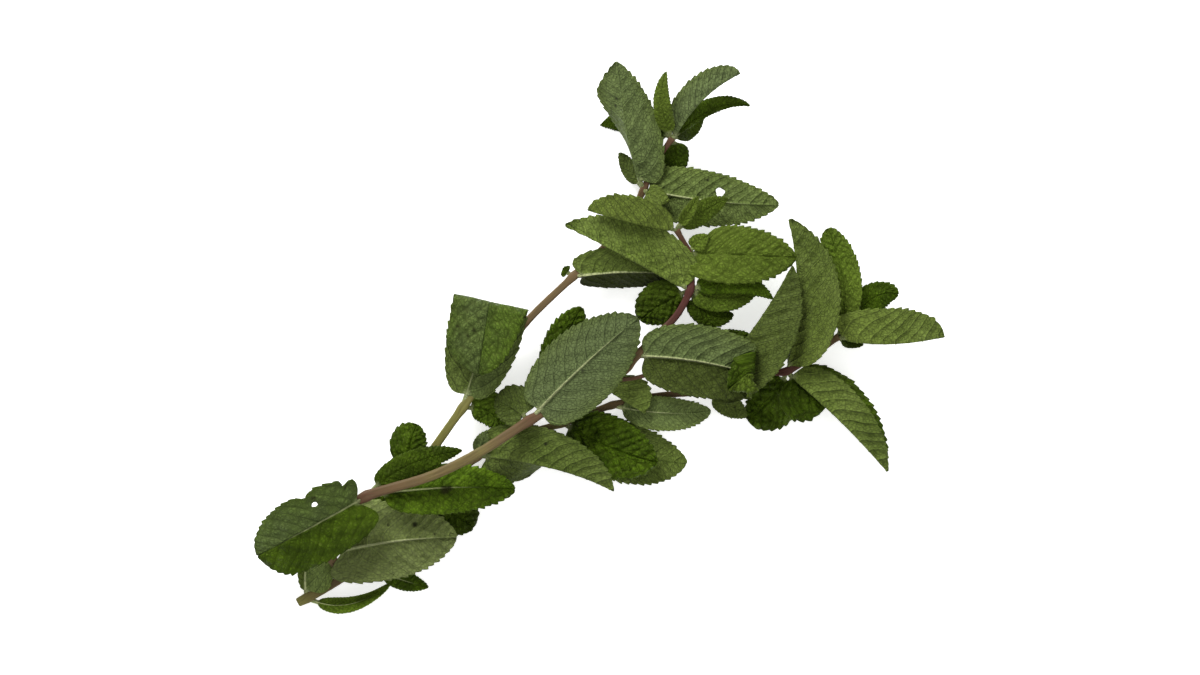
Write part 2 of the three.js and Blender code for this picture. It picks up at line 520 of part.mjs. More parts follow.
function addPiece(name, geometry, look) {
  const mesh = new THREE.Mesh(geometry, new THREE.MeshStandardMaterial(look));
  mesh.name = name;
  group.add(mesh);
}

const stems = stemLines.map((line) => solidOf(stemGeometry(line)));
addPiece("stem", geometryOf(stems.reduce((whole, branch) => whole.add(branch))), STEM_LOOK);
Object.entries(LEAVES).forEach(([name, leaf], index) => {
  addPiece(`leaf_${name}`, leafGeometry(leaf, index), leaf.side === UP ? UPPER_LOOK : UNDER_LOOK);
});

export default group;
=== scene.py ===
"""A cut sprig of spearmint as it looks: square stems, toothed and veined leaves, and its stage.

Lengths in the layout tables are millimetres, in a layout with its own origin. Each mesh is
shifted by LAYOUT_SHIFT and turned into metres as it is made.
"""
import json
import math

import bpy
import numpy as np
from bpy.props import FloatProperty, FloatVectorProperty, PointerProperty
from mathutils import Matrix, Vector

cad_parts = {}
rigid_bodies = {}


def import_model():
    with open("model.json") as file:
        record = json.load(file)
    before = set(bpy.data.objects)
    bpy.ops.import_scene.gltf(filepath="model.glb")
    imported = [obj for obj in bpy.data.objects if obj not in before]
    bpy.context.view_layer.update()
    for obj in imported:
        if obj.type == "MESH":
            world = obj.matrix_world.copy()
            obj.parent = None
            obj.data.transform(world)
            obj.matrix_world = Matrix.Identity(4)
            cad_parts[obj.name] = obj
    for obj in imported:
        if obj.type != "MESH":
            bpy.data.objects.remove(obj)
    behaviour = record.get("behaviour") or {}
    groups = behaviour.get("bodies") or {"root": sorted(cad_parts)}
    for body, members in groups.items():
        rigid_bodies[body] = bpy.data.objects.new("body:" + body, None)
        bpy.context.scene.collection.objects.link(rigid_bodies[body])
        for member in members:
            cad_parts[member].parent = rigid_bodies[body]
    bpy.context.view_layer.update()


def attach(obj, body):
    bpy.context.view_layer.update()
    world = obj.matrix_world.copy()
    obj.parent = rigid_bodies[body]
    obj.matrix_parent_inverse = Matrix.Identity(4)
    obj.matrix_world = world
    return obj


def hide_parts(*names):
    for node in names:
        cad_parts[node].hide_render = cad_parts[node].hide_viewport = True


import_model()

bl_info = {
    "name": "Spearmint sprig",
    "version": (1, 0, 0),
    "blender": (4, 5, 0),
    "location": "View3D > Sidebar > Mint",
    "description": "A cut sprig of spearmint lying on a pale floor",
    "category": "Object",
}

MM = 0.001
LAYOUT_SHIFT = np.array([0.27, 0.0, 0.0])
UP = 1  # upper side of the leaf faces up
DOWN = -1  # pale underside faces up
FOLDED = -171  # rise in degrees of a half that is folded under the other one
UNDER = -150  # a half whose least rise is below this lies under the other one

# ---- Layout ----
# Stem centre lines from the cut end: x, y, height, half width, and how red the bark is, from 0 to
# 1. Then the name of a node, where leaves and side shoots stand.
STEMS = {
    "main": [
        (-101, -88.5, 2.3, 1.5, 0), (-91.5, -83.5, 2.3, 1.5, 0.15), (-80, -75.5, 2.4, 1.55, 0.5, "m1"),
        (-58, -55.5, 2.6, 1.55, 0.3, "m2"), (-41, -39.5, 2.8, 1.45, 0.25, "m3"),
        (-25.5, -32.5, 2.5, 1.35, 0.1), (-12.5, -28.5, 2.6, 1.2, 0.15, "m4"),
        (4, -22.5, 3, 1.1, 0.35, "m5"), (18, -19.5, 3.6, 1.1, 0.4), (34, -18, 3, 1.1, 0.5, "m6"),
        (45, -15.5, 2.7, 1.1, 0.5), (53.5, -11.5, 4.7, 1.15, 0.6), (62.5, -11, 8.2, 1.15, 0.85, "m7"),
        (73, -4.5, 9.6, 1, 0.45), (79.5, 0.5, 12, 0.9, 0.4, "m8"),
    ],
    "over": [
        (-85, -78.5, 2.4, 1.5, 0.3), (-88, -76, 5, 1.6, 0.3), (-90, -72, 8.6, 1.6, 0.4, "a0"),
        (-89, -65.5, 11.5, 1.6, 0.5), (-84.5, -58, 13.8, 1.65, 0.6),
        (-77.5, -52.5, 16.4, 1.65, 0.62, "a1"), (-56.5, -46, 17, 1.65, 0.2),
        (-40, -38, 16.5, 1.65, 0.1), (-23.5, -27.5, 15, 1.6, 0.55, "a2"), (-6.5, -18, 13, 1.4, 0.3),
        (7.5, -11.5, 12.6, 1.3, 0.3), (12, -6, 13, 1.3, 0.35, "a4"), (18.5, 0.5, 11.8, 1.25, 0.5),
        (25.5, 7.5, 11.5, 1.2, 0.9), (30, 16, 12, 1.15, 0.95, "a5"), (30.5, 22.5, 12.8, 1, 0.8),
        (29.5, 28.5, 14.5, 1, 0.75, "a6"), (25.5, 36, 17.5, 0.8, 0.6, "a7"),
    ],
    "back": [
        (-80, -75.5, 2.4, 1.4, 0.2), (-68.5, -56.5, 2.6, 1.4, 0.2), (-60, -43.5, 4.5, 1.45, 0.05, "b1"),
        (-53.5, -34, 7, 1.45, 0), (-46, -23.5, 8.6, 1.4, 0, "b2"), (-33.5, -6.5, 7.5, 1.3, 0.2),
        (-23.5, 6.5, 7.5, 1.3, 0.3), (-9, 20.5, 7.6, 1.25, 0.35, "b3"), (3.5, 32.5, 7, 1.15, 0.3),
        (10.5, 42, 7.6, 1.1, 0.4), (14.5, 49.5, 9, 1, 0.5, "b4"), (18.5, 58.5, 11.5, 0.9, 0.9),
        (24, 66.5, 13, 0.85, 0.6, "b5"),
    ],
    "twig": [
        (2, -14, 13, 0.8, 0.6), (10.5, -13.5, 12.6, 0.7, 0.6), (18, -11.5, 11.6, 0.7, 0.7),
        (26.5, -8, 10.5, 0.7, 0.6, "t1"),
    ],
}
NODES = {row[5]: row[:3] for rows in STEMS.values() for row in rows if len(row) > 5}
NODES.update(m0=(-98, -87, 2.3), a3=(0, -14.5, 12.9))


class Leaf:
    """How one leaf lies and looks: what is usual for a leaf, and what it has of its own.

    Left is to the left of one who walks from base to tip, and a hand is 1 for left or -1 for
    right. Where lobe, youth, bloom, which holds painted sheen too, tone, which holds painted
    light and shade too, their turned kinds or crinkle is a pair, it holds the left half's
    number and the right half's.
    """

    left = right = 0  # rise of each half in degrees: one, or at base, middle if given, and tip
    petiole = 0.8  # length of the petiole beyond the bark
    base_fullness = 0.46  # exponent of the width towards the base: less is rounder
    tip_fullness = 0.72  # exponent of the width towards the tip
    lobe = 0.25  # how far the blade sweeps back round its base, as a share of its width
    crease = None  # where a leaf is folded over, with its tip lying back over its base
    hole = None  # x, y and radius
    spots = ()  # x, y and radius of each dark spot
    notches = ()  # hand, place, reach and depth of each, in shares; a negative depth widens
    rib = 0.1  # paleness of the midrib
    faded = 0  # least paleness of the whole blade
    youth = 0  # yellow-green of a young leaf
    fresh = 0  # youth added at the base, which fades towards the tip
    bloom_and_sheen = 0  # grey of fine hairs, and painted grey sheen
    tone = 1  # lightness, with painted light and shade
    turned_bloom_and_sheen = 0  # the same two beyond a crease
    turned_tone_and_painted_light = 1
    crinkle = 1  # share of the usual relief

    def __init__(self, through, tip, width, side=UP, **own):
        """Lays the leaf out in millimetres.

        through is the point half way along its midrib, width holds its half widths when flat, left
        and right, and side is the side that faces up.
        """
        self.through, self.tip, self.width, self.side = through, tip, width, side
        vars(self).update(own)

    def scale(self, full, least):
        """Size of fine detail: the half width as a share of a full one, from least to 1."""
        return np.clip(max(self.width) / full, least, 1)


# Each leaf is named after its node and numbered there.
# Bloom is partly the grey of fine hairs and partly painted grey sheen, as on a1_1's right half.
# Tone is partly each leaf's own lightness and partly painted light and shade: leaves and halves that lie in
# shade are lightened, and halves turned from the light darkened, as b3_1's right half.
LEAVES = {
    "m0_1": Leaf((-98.5, -77.5, 4.8), (-96, -67, 5.4), (2.6, 9.5), DOWN, left=10, right=(18, -5),
        petiole=0.5, base_fullness=0.4, lobe=0.5, rib=1, youth=0.2, bloom_and_sheen=(0, 0.4), tone=(1.1, 1.55)),
    "m0_2": Leaf((-84.5, -89.2, 2.2), (-70.5, -82.5, 2.4), (4.2, 3.9), left=(15, 70, 78),
        right=(20, 60, 70), base_fullness=0.6, rib=1, youth=0.35, tone=(1.1, 1.85)),
    "m1_1": Leaf((-69.5, -80, 1.2), (-57.5, -83.5, -2), (3.4, 3.4), left=5, petiole=6, rib=1, tone=1.5),
    "m2_1": Leaf((-50.5, -58, 4.4), (-42.5, -63.5, 2.6), (8, 7), right=-4, tip_fullness=0.5, tone=0.85,
        crinkle=1.3),
    "a0_1": Leaf((-69.5, -68, 8.4), (-48, -66.5, 7.4), (13, 12.8), DOWN, left=(0, -8), right=(0, -8),
        petiole=1.5, base_fullness=0.4, tip_fullness=0.6, lobe=1.4,
        spots=((-62, -62.3, 1), (-55.3, -65.5, 0.5), (-70.8, -62.5, 0.5)), notches=((1, 0.32, 0.14, -0.2),),
        rib=1.3, faded=0.46, youth=0.3, tone=(1.3, 0.98), crinkle=1.8),
    "a1_1": Leaf((-94.5, -62, 19), (-114, -72.5, 12), (12.9, 12.2), left=(-2, -8), right=(40, 20, -6),
        petiole=0.1, base_fullness=0.32, tip_fullness=0.45, lobe=(1.05, 0.9), hole=(-94.5, -55, 0.9),
        spots=((-95, -53, 0.8), (-84.5, -49.7, 0.6)),
        notches=((1, 0.85, 0.15, -0.15), (-1, 0.13, 0.02, 0.26), (-1, 0.4, 0.045, 0.15), (-1, 0, 0.05, 0.3)),
        rib=0.9, bloom_and_sheen=(0, 0.42), tone=(0.92, 0.97), crinkle=0.6),
    "a1_3": Leaf((-51.5, -50, 10), (-28.5, -50.5, 7.5), (8.4, 9), left=(-22, 0), right=(30, -5),
        base_fullness=0.36, tip_fullness=0.55, spots=((-51.7, -50.7, 1.6), (-50, -50.2, 0.9)), rib=0.9,
        tone=(2.15, 1.45)),
    "a1_4": Leaf((-64, -42.5, 13.6), (-46, -37.5, 12), (4.5, 4.5), left=(4, 0), right=(-12, -2), petiole=1,
        base_fullness=0.36, lobe=0.4, rib=0.2),
    "m3_1": Leaf((-16, -43, 12), (4.5, -51, 9.8), (12.8, 11), DOWN, left=(20, 0), right=(20, -60, -330),
        lobe=0.9, spots=((-18, -35.3, 0.6),), rib=0.4, tone=(1, 0.75)),
    "m3_2": Leaf((-40, -36, 7.6), (-37.8, -31, 7.6), (2.6, 2.6), DOWN, bloom_and_sheen=0.5),
    "b1_1": Leaf((-63.5, -38, 6.8), (-61, -29, 6), (7, 5.5), left=-4, petiole=1.2, tip_fullness=0.5,
        tone=1.2, crinkle=1.4),
    "b1_2": Leaf((-67, -51, 5.8), (-77, -57, 5.4), (6.5, 6.5)),
    "b2_1": Leaf((-40, -3.5, 12), (-40.5, -12, 18), (12.6, 13), DOWN, left=(0, 4, -3), right=(14, -8, -3),
        petiole=0.5, tip_fullness=0.5, lobe=0.6, crease=(-36.5, 12, 15.5),
        spots=((-47.3, 4, 0.7), (-42, 2.5, 0.7), (-44, 0.5, 0.5)), notches=((1, 0.86, 0.1, -0.38),),
        rib=0.6, youth=0.1, bloom_and_sheen=(0.1, 0.4), tone=(0.98, 1.2), turned_bloom_and_sheen=(0.45, 0.15),
        turned_tone_and_painted_light=(0.94, 1.14)),
    "b2_2": Leaf((-36.5, -25, 6.4), (-32, -33.5, 6), (7, 4.6), left=8, right=4, base_fullness=0.35,
        youth=0.15, tone=1.4, crinkle=1.3),
    "a2_1": Leaf((-29.5, -23, 12), (-35, -20.5, 9.4), (5.8, 8), DOWN, petiole=0.5, base_fullness=0.3,
        tip_fullness=0.5, lobe=0.6, tone=0.75),
    "a2_2": Leaf((-6.5, -10, 18), (12.5, 6.5, 16.5), (12.8, 13.3), DOWN, left=-4, right=(12, -6),
        petiole=0.5, tip_fullness=0.62, lobe=0.6, spots=((-5.7, -11, 0.55),), rib=1.15, bloom_and_sheen=0.8,
        tone=(0.93, 0.89), crinkle=0.6),
    "m4_1": Leaf((-12.5, -6, 8), (-6, 10, 8), (8, 8), tip_fullness=0.6, crinkle=1.4),
    "m4_2": Leaf((8.5, -37.5, 3.5), (29, -42, -4), (9.5, 11), DOWN, petiole=1.5, tip_fullness=0.62, lobe=0,
        rib=0.2, tone=1.28),
    "m4_3": Leaf((2, -36, 7.6), (19, -41.5, 6.4), (10.5, 10.5), right=-5, tip_fullness=0.62, rib=0.25,
        tone=1.3, crinkle=1.5),
    "a3_1": Leaf((7.5, -20, 9.4), (15, -25, 8.8), (9.5, 7), DOWN, left=(-8, 0), right=FOLDED, petiole=1,
        tip_fullness=0.4, rib=0.4, tone=1.5),
    "m5_1": Leaf((21.5, -25, 6), (37, -24.5, 4.6), (5.5, 6.2), DOWN, left=(20, 0), tip_fullness=0.6,
        rib=0.8, bloom_and_sheen=0.5, tone=1.6),
    "a4_1": Leaf((31, -7.5, 16.8), (42.5, -17, 18.8), (12.4, 12), DOWN, left=(20, -4), right=(4, -4),
        petiole=0.5, lobe=0.6, crease=(51, -12, 17), rib=1.25, youth=(0, 0.6), bloom_and_sheen=(0.6, 0),
        tone=(1.05, 0.52), turned_tone_and_painted_light=0.95, crinkle=(1, 1.7)),
    "t1_1": Leaf((37, -2.5, 8.5), (50.5, 1, 6.5), (4.5, 4.5), tone=0.9),
    "a5_1": Leaf((8.5, 27.5, 18), (-11.5, 37.5, 17), (7, 14), DOWN, left=FOLDED, right=(18, -16),
        petiole=0.5, lobe=0.65, rib=0.35, fresh=0.5, tone=1.4, crinkle=2),
    "a5_2": Leaf((42.5, 13.5, 11.4), (53, 17, 11.2), (4.5, 5), petiole=0.5, base_fullness=0.32, lobe=0.5,
        rib=0.2, youth=0.45, tone=1.15),
    "a5_3": Leaf((20, 11, 9), (13.5, 6, 7), (7, 8), left=-8, right=8, petiole=1, base_fullness=0.36,
        tip_fullness=0.5, lobe=0.1, youth=0.1, tone=0.9, crinkle=1.4),
    "a5_4": Leaf((45, 18.5, 14.4), (57.5, 13, 15.2), (4, 4), petiole=0.5, base_fullness=0.36, tone=1.3),
    "a5_5": Leaf((36, 8, 9.8), (44.5, 8, 9.4), (5, 4.5), base_fullness=0.36, tone=0.7, crinkle=1.3),
    "a6_1": Leaf((48.5, 27.5, 17), (65.2, 26.8, 16.4), (9.8, 9.8), petiole=0.1, base_fullness=0.42,
        tip_fullness=0.62, lobe=(0, 1.3), notches=((1, 0.04, 0.08, 0.4),), rib=0.35, youth=0.7, fresh=0.4,
        crinkle=0.75),
    "a6_2": Leaf((33, 32, 17), (36, 34, 17.4), (3, 3), petiole=0.5, base_fullness=0.36, youth=0.9,
        tone=1.3),
    "a7_1": Leaf((11.5, 38.5, 23), (-4, 42.5, 21.2), (5, 9), DOWN, left=FOLDED, right=4, petiole=0.5,
        tip_fullness=0.5, rib=0.2, youth=0.9, fresh=0.2),
    "a7_2": Leaf((29.5, 42, 21), (32.5, 47, 21.5), (2.4, 2.4), left=40, right=30, petiole=1, youth=1),
    "a7_3": Leaf((34, 42, 18.2), (42.5, 46.5, 17.6), (4, 4), left=15, right=-13, petiole=0.5, rib=0.3,
        youth=0.5),
    "b3_1": Leaf((8, 22, 11.5), (27, 21, 9.6), (9, 9), DOWN, left=(28, 4), right=(-60, -50), petiole=0.5,
        lobe=1.2, rib=1.3, youth=(0, 1), tone=(1.25, 0.3)),
    "b3_2": Leaf((-11, 22, 6.8), (-12.5, 23, 6), (2.2, 2.2), petiole=0.3, tone=0.8),
    "b4_1": Leaf((9, 69.5, 15.5), (5.5, 92, 15), (9.5, 11), DOWN, left=(-80, -124, 35), right=(10, -20),
        petiole=1.5, lobe=(0.25, 1.1), spots=((5.6, 79.7, 0.45), (5.3, 77.5, 0.4)),
        notches=((1, 0.8, 0.12, -0.35),), rib=0.15, fresh=0.2, bloom_and_sheen=0.6, tone=1.1),
    "b4_2": Leaf((38.5, 45.5, 12.8), (59.5, 44.5, 12), (10.2, 9), DOWN, left=-2, right=-6, petiole=0.5,
        base_fullness=0.34, tip_fullness=0.65, lobe=0.6, hole=(40, 48.5, 1.5), spots=((36, 52.7, 0.6),),
        rib=0.85, fresh=0.2, bloom_and_sheen=0.3, tone=1.2),
    "b4_3": Leaf((10, 56.5, 5), (6.5, 62, 4.5), (3, 3), DOWN, petiole=1.5, rib=0.2, tone=0.7),
    "b4_4": Leaf((19, 47, 14), (23, 45.5, 15.5), (3.6, 3.6), DOWN, petiole=0.5, base_fullness=0.36,
        youth=0.8),
    "b5_1": Leaf((34, 79.5, 16.8), (46.5, 88, 16.5), (7.8, 5.5), DOWN, right=(-140, FOLDED), petiole=0.3,
        tip_fullness=0.45, lobe=0.6, rib=0.3, fresh=0.5, bloom_and_sheen=0.8, tone=1.15),
    "b5_2": Leaf((37.5, 76.5, 8.8), (50, 77.5, 9), (4, 1.8), right=-10),
    "b5_3": Leaf((25, 59.5, 8.6), (22, 51.5, 8), (4.6, 4.6), petiole=0.5, base_fullness=0.34),
    "b5_4": Leaf((20.5, 78, 20.4), (22, 88.5, 19.6), (3, 3.2), petiole=1.5, base_fullness=0.36, rib=0.2,
        youth=0.9),
    "b5_5": Leaf((11, 72, 3.6), (0, 71.5, -7), (4.2, 4.2), left=4, right=-3),
    "b5_6": Leaf((30, 70, 6.4), (34.5, 76, 5), (3.2, 3.2), tone=0.8),
    "m6_1": Leaf((50.5, 1.5, 12.6), (64, 24, 18), (12, 16), DOWN, left=FOLDED, right=(42, 13, 6), lobe=0.3,
        rib=0.2, fresh=0.5, tone=0.73, crinkle=1.4),
    "m6_2": Leaf((41.5, -21.5, 3.8), (49, -26.5, 2.8), (4, 4), DOWN, petiole=1.5, youth=0.1, tone=1.1),
    "m7_1": Leaf((66.3, 12.5, 15), (63, 39.5, 16.5), (11, 15), DOWN, left=(-70, FOLDED), right=(45, 0),
        petiole=0.3, base_fullness=0.5, lobe=0, rib=0.15, fresh=0.7, tone=1.04, crinkle=1.4),
    "m7_2": Leaf((79.5, -26.5, 11.5), (96, -44.5, 7), (10.4, 12.8), DOWN, right=FOLDED, lobe=0.3, rib=0.15,
        fresh=0.5, tone=1.1, crinkle=1.3),
    "m7_3": Leaf((57, -20.5, 3), (49.5, -27.5, -3), (10, 6.5), left=(-8, 0), right=(-30, 0),
        tip_fullness=0.5, tone=1.25, crinkle=1.4),
    "m7_4": Leaf((68.5, -17.5, 5.8), (75.5, -22.5, 4.6), (6, 10.5), right=(12, 4), tip_fullness=0.5,
        tone=1.1, crinkle=1.4),
    "m8_1": Leaf((81, 17.5, 12.8), (76, 36.5, 12.6), (7, 6.4), left=(-15, 3), right=4, tip_fullness=0.5,
        rib=0.15, youth=0.4, fresh=0.9, tone=(1.4, 1.45)),
    "m8_2": Leaf((96, -1.5, 16.8), (114.5, 0.5, 15), (12, 4), DOWN, left=(28, 0, 0), right=-165,
        petiole=0.5, base_fullness=0.36, tip_fullness=0.42, lobe=1, rib=0.3, youth=0.15, fresh=0.9,
        tone=1.2),
    "m8_3": Leaf((90, 12.5, 8.4), (99.5, 14.5, 8.2), (5.4, 5.4), tip_fullness=0.5, tone=1.35),
    "m8_4": Leaf((82.5, -1.4, 8), (88, -2.2, 7.5), (1.8, 1.8), tone=0.7),
}

STEM_STATION = 0.8  # spacing of a stem's rings
STEM_SIDES = 24
SQUARENESS = 3.2  # exponent of a stem's section: 2 is round, and more is squarer
FLAT_HOLLOW = 0.05  # how much a stem's flats sink and its corners stand out
NODE_SWELLING = 0.35
NODE_REACH = 2.0  # distance over which a node's swelling dies away
STEM_GAP = 0.25  # how far off all bark a petiole's length is counted from
PETIOLE_FOOT = 0.4  # where a petiole starts, inside the bark
PETIOLE_HALF_WIDTH = 0.8
PETIOLE_ABOVE = 0.45  # how far a petiole stands out over its middle surface, and under it
PETIOLE_BELOW = 0.75
BASE_HALF_WIDTH = PETIOLE_HALF_WIDTH - 0.1  # least half width of a blade's base
TIP_HALF_WIDTH = 0.12
RIB_STATION = 0.1  # spacing of a midrib's points
RIB_BASE_WIDTH = 0.56  # how far a midrib's rounded ridge reaches to each side at its base
RIB_TIP_WIDTH = 0.2
MIDRIB_BEND = 1.2  # how far each side of the midrib takes up the fold between the halves
BEND_STEPS = 32
LOWEST = 0.35  # height of the lowest place that a blade's middle surface reaches
LOWEST_SKIN = 0.03  # height of the lowest place that its skins reach
MARGIN_WAVE = 0.35
WAVES_PER_BLADE = 2.5
PHASE_STEP = 2.4  # turns the waves of one leaf against those of the next, in radians
SEED_STEP = 1.37  # sets the veins of one leaf apart from those of the next
TOOTH_ROWS = np.array([0, 0.3, 0.55, 0.78, 0.9])  # where the rows of a grid cross a tooth
TOOTH_SHAPE = np.array([0, 0.45, 0.8, 1, 0.5])  # how far it stands out at each of them
TOOTH_LEAN = 0.7  # how far a tooth leans towards the tip, as a share of its height
MARGIN_POWER = 7  # power of the share of the half width by which teeth grow to the margin
TOOTH_COUNT = (6, 24)  # fewest and most teeth on a margin
COLUMN_COUNT = (6, 26)  # fewest and most columns in a half
COLUMN = 0.5  # spacing of a grid's columns
COLUMN_POWER = 1.35  # more than 1 crowds the columns round the midrib
RELIEF_DROP = 0.12  # how far the veins lie under the middle surface
SWELL = 0.42  # height of a blade's broad, gentle swellings
UNDERSIDE_CRINKLE = 0.75  # share of the relief that shows on an underside
# On an upper side the dark of a net vein is painted shade in its crease.
NET_WIDTH = 0.45  # how far the dark of a net vein reaches into its cell, as a share of the cell
VEIN_HEIGHT = 0.16  # how far a side vein stands out of the lower skin
SPOT = (0.008, 0.007, 0.004)  # dark brown of bruises and spots


# ---- Sizes and colours that a user may change ----
def length(name, description, default, least=0.0):
    """A length in metres that a user may change."""
    return FloatProperty(name=name, description=description, default=default, min=least,
                         unit="LENGTH", subtype="DISTANCE")


def shade(name, description, default):
    """A linear colour that a user may change."""
    return FloatVectorProperty(name=name, description=description, default=default, size=3,
                               min=0, max=1, subtype="COLOR")


class LeafSizes(bpy.types.PropertyGroup):
    """Sizes of the leaves' fine detail."""

    thickness: length("Blade thickness", "Thickness of a blade between its veins", 0.0003, 0.0001)
    tooth_spacing: length("Tooth spacing", "Distance between two teeth along a margin", 0.0024, 0.0005)
    tooth_depth: length("Tooth depth", "How far a tooth stands out on a large leaf", 0.00058)
    vein_spacing: length("Vein spacing", "Distance between two side veins on a large leaf", 0.0045, 0.001)
    vein_relief: length("Vein relief", "How far the blade bulges between two side veins", 0.0006)
    cell_size: length("Cell size", "Size of the small cells between the net veins", 0.0021, 0.0005)
    cell_relief: length("Cell relief", "How far each cell between the net veins bulges", 0.0004)
    rib_height: length("Midrib height", "How far the midrib stands out below the blade's base", 0.0008)


class LeafColours(bpy.types.PropertyGroup):
    """Colours of the leaves."""

    upper_deep: shade("Upper side, deep", "Darker green of the upper side", (0.021, 0.042, 0.002))
    upper_light: shade("Upper side, light", "Lighter green of the upper side", (0.044, 0.080, 0.004))
    under_deep: shade("Underside, deep", "Darker green of the underside", (0.073, 0.104, 0.017))
    under_light: shade("Underside, light", "Lighter green of the underside", (0.104, 0.141, 0.028))
    young_upper: shade(
        "Young upper side", "Yellow-green of a young leaf's upper side", (0.085, 0.126, 0.016))
    young_under: shade(
        "Young underside", "Yellow-green of a young leaf's underside", (0.112, 0.152, 0.024))
    # The bloom colour also paints grey sheen.
    bloom_and_sheen: shade("Bloom", "Grey-green of the fine hairs on the palest leaves", (0.104, 0.136, 0.054))
    midrib: shade("Midrib", "Pale colour of midribs and petioles", (0.315, 0.345, 0.165))


class StemColours(bpy.types.PropertyGroup):
    """Colours of the stems."""

    bark: shade("Bark", "Tan of the stems", (0.127, 0.086, 0.035))
    green: shade("Green bark", "Olive green of the youngest bark", (0.150, 0.142, 0.034))
    blush: shade("Blush", "Purple-red of the bark near the nodes", (0.068, 0.020, 0.015))


class StageLook(bpy.types.PropertyGroup):
    """The floor, the light and the camera."""

    floor: shade("Floor", "Colour of the floor", (0.90, 0.90, 0.90))
    glow: FloatProperty(
        name="Table light", description="How bright the floor, a lit white table, shines by itself",
        default=0.6, min=0)
    key_power: FloatProperty(
        name="Key light", description="Power of the large soft light at the upper left",
        default=54, min=0, unit="POWER")
    fill_power: FloatProperty(
        name="Fill light", description="Power of the soft light at the lower right",
        default=7, min=0, unit="POWER")
    lens: FloatProperty(
        name="Lens", description="Focal length of the camera in millimetres", default=200, min=20)
    view_width: length("View width", "Width that the camera sees at the sprig's mid height", 0.4, 0.1)


# ---- Curves ----
def clipped(values):
    """Values held between 0 and 1."""
    return np.clip(values, 0, 1)


def unit(vectors):
    """Each vector divided by its own length."""
    return vectors / np.maximum(np.linalg.norm(vectors, axis=-1, keepdims=True), 1e-12)


def run_of(line):
    """Distance along a line of points: the running sum of the steps between them."""
    return np.r_[0, np.cumsum(np.linalg.norm(np.diff(line, axis=0), axis=1))]


def sampled(at, run, line):
    """Values of a line's columns at given distances, read off between its nearest points."""
    return np.stack([np.interp(at, run, column) for column in line.T], axis=-1)


def smooth_line(rows, between=24):
    """Line through rows of x, y, z and other values.

    Uniform Catmull-Rom: each stretch blends its four nearest points with cubics, and the line is
    mirrored outwards at its ends. The other values run straight from row to row.
    """
    rows = np.array([row[:5] for row in rows], float)
    points = rows[:, :3]
    points = np.vstack([2 * points[0] - points[1], points, 2 * points[-1] - points[-2]])
    t = np.linspace(0, len(rows) - 1, (len(rows) - 1) * between + 1)
    i = np.minimum(t.astype(int), len(rows) - 2)
    f = (t - i)[:, None]
    a, b, c, d = (points[i + k] for k in range(4))
    curved = (c - a) * f + (2 * a - 5 * b + 4 * c - d) * f**2 + (3 * b - a - 3 * c + d) * f**3
    line = b + 0.5 * curved
    others = rows[i, 3:] * (1 - f) + rows[i + 1, 3:] * f
    return line, others


def arc_through(start, through, end, count=160):
    """Quadratic Bezier from start to end that passes the middle point half way."""
    control = 2 * through - (start + end) / 2
    t = np.linspace(0, 1, count)[:, None]
    return (1 - t) ** 2 * start + 2 * t * (1 - t) * control + t**2 * end


def swelling(points):
    """How much a stem is thicker near a node: a bell curve of the distance to the nearest node."""
    nodes = np.array(list(NODES.values()), float)
    near = np.linalg.norm(points[:, None] - nodes, axis=2).min(axis=1)
    return NODE_SWELLING * np.exp(-((near / NODE_REACH) ** 2))


def stem_samples():
    """Points about 1 mm apart on all the stems' centre lines, and how far the bark is from each."""
    places, reaches = [], []
    for rows in STEMS.values():
        line, others = smooth_line(rows)
        run = run_of(line)
        at = np.linspace(0, run[-1], math.ceil(run[-1]) + 1)
        place = sampled(at, run, line)
        places.append(place)
        reaches.append(sampled(at, run, others)[:, 0] + swelling(place))
    return np.vstack(places), np.concatenate(reaches)


STEM_PLACES, STEM_REACHES = stem_samples()


# ---- Meshes ----
def new_mesh(name, places, faces, attributes):
    """A mesh object from places in layout millimetres, faces and values given for each vertex."""
    mesh = bpy.data.meshes.new(name)
    mesh.from_pydata((places + LAYOUT_SHIFT) * MM, [], faces)
    for key, values in attributes.items():
        kind = "FLOAT_VECTOR" if values.ndim == 2 else "FLOAT"
        data = mesh.attributes.new(key, kind, "POINT").data
        data.foreach_set("vector" if values.ndim == 2 else "value", values.astype(np.float32).ravel())
    mesh.validate()
    piece = bpy.data.objects.new(name, mesh)
    bpy.context.scene.collection.objects.link(piece)
    return piece


def finish_piece(piece, node):
    """Ties a finished piece to the frame: it rides on the root and stands for its CAD node."""
    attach(piece, "root")
    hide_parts(node)


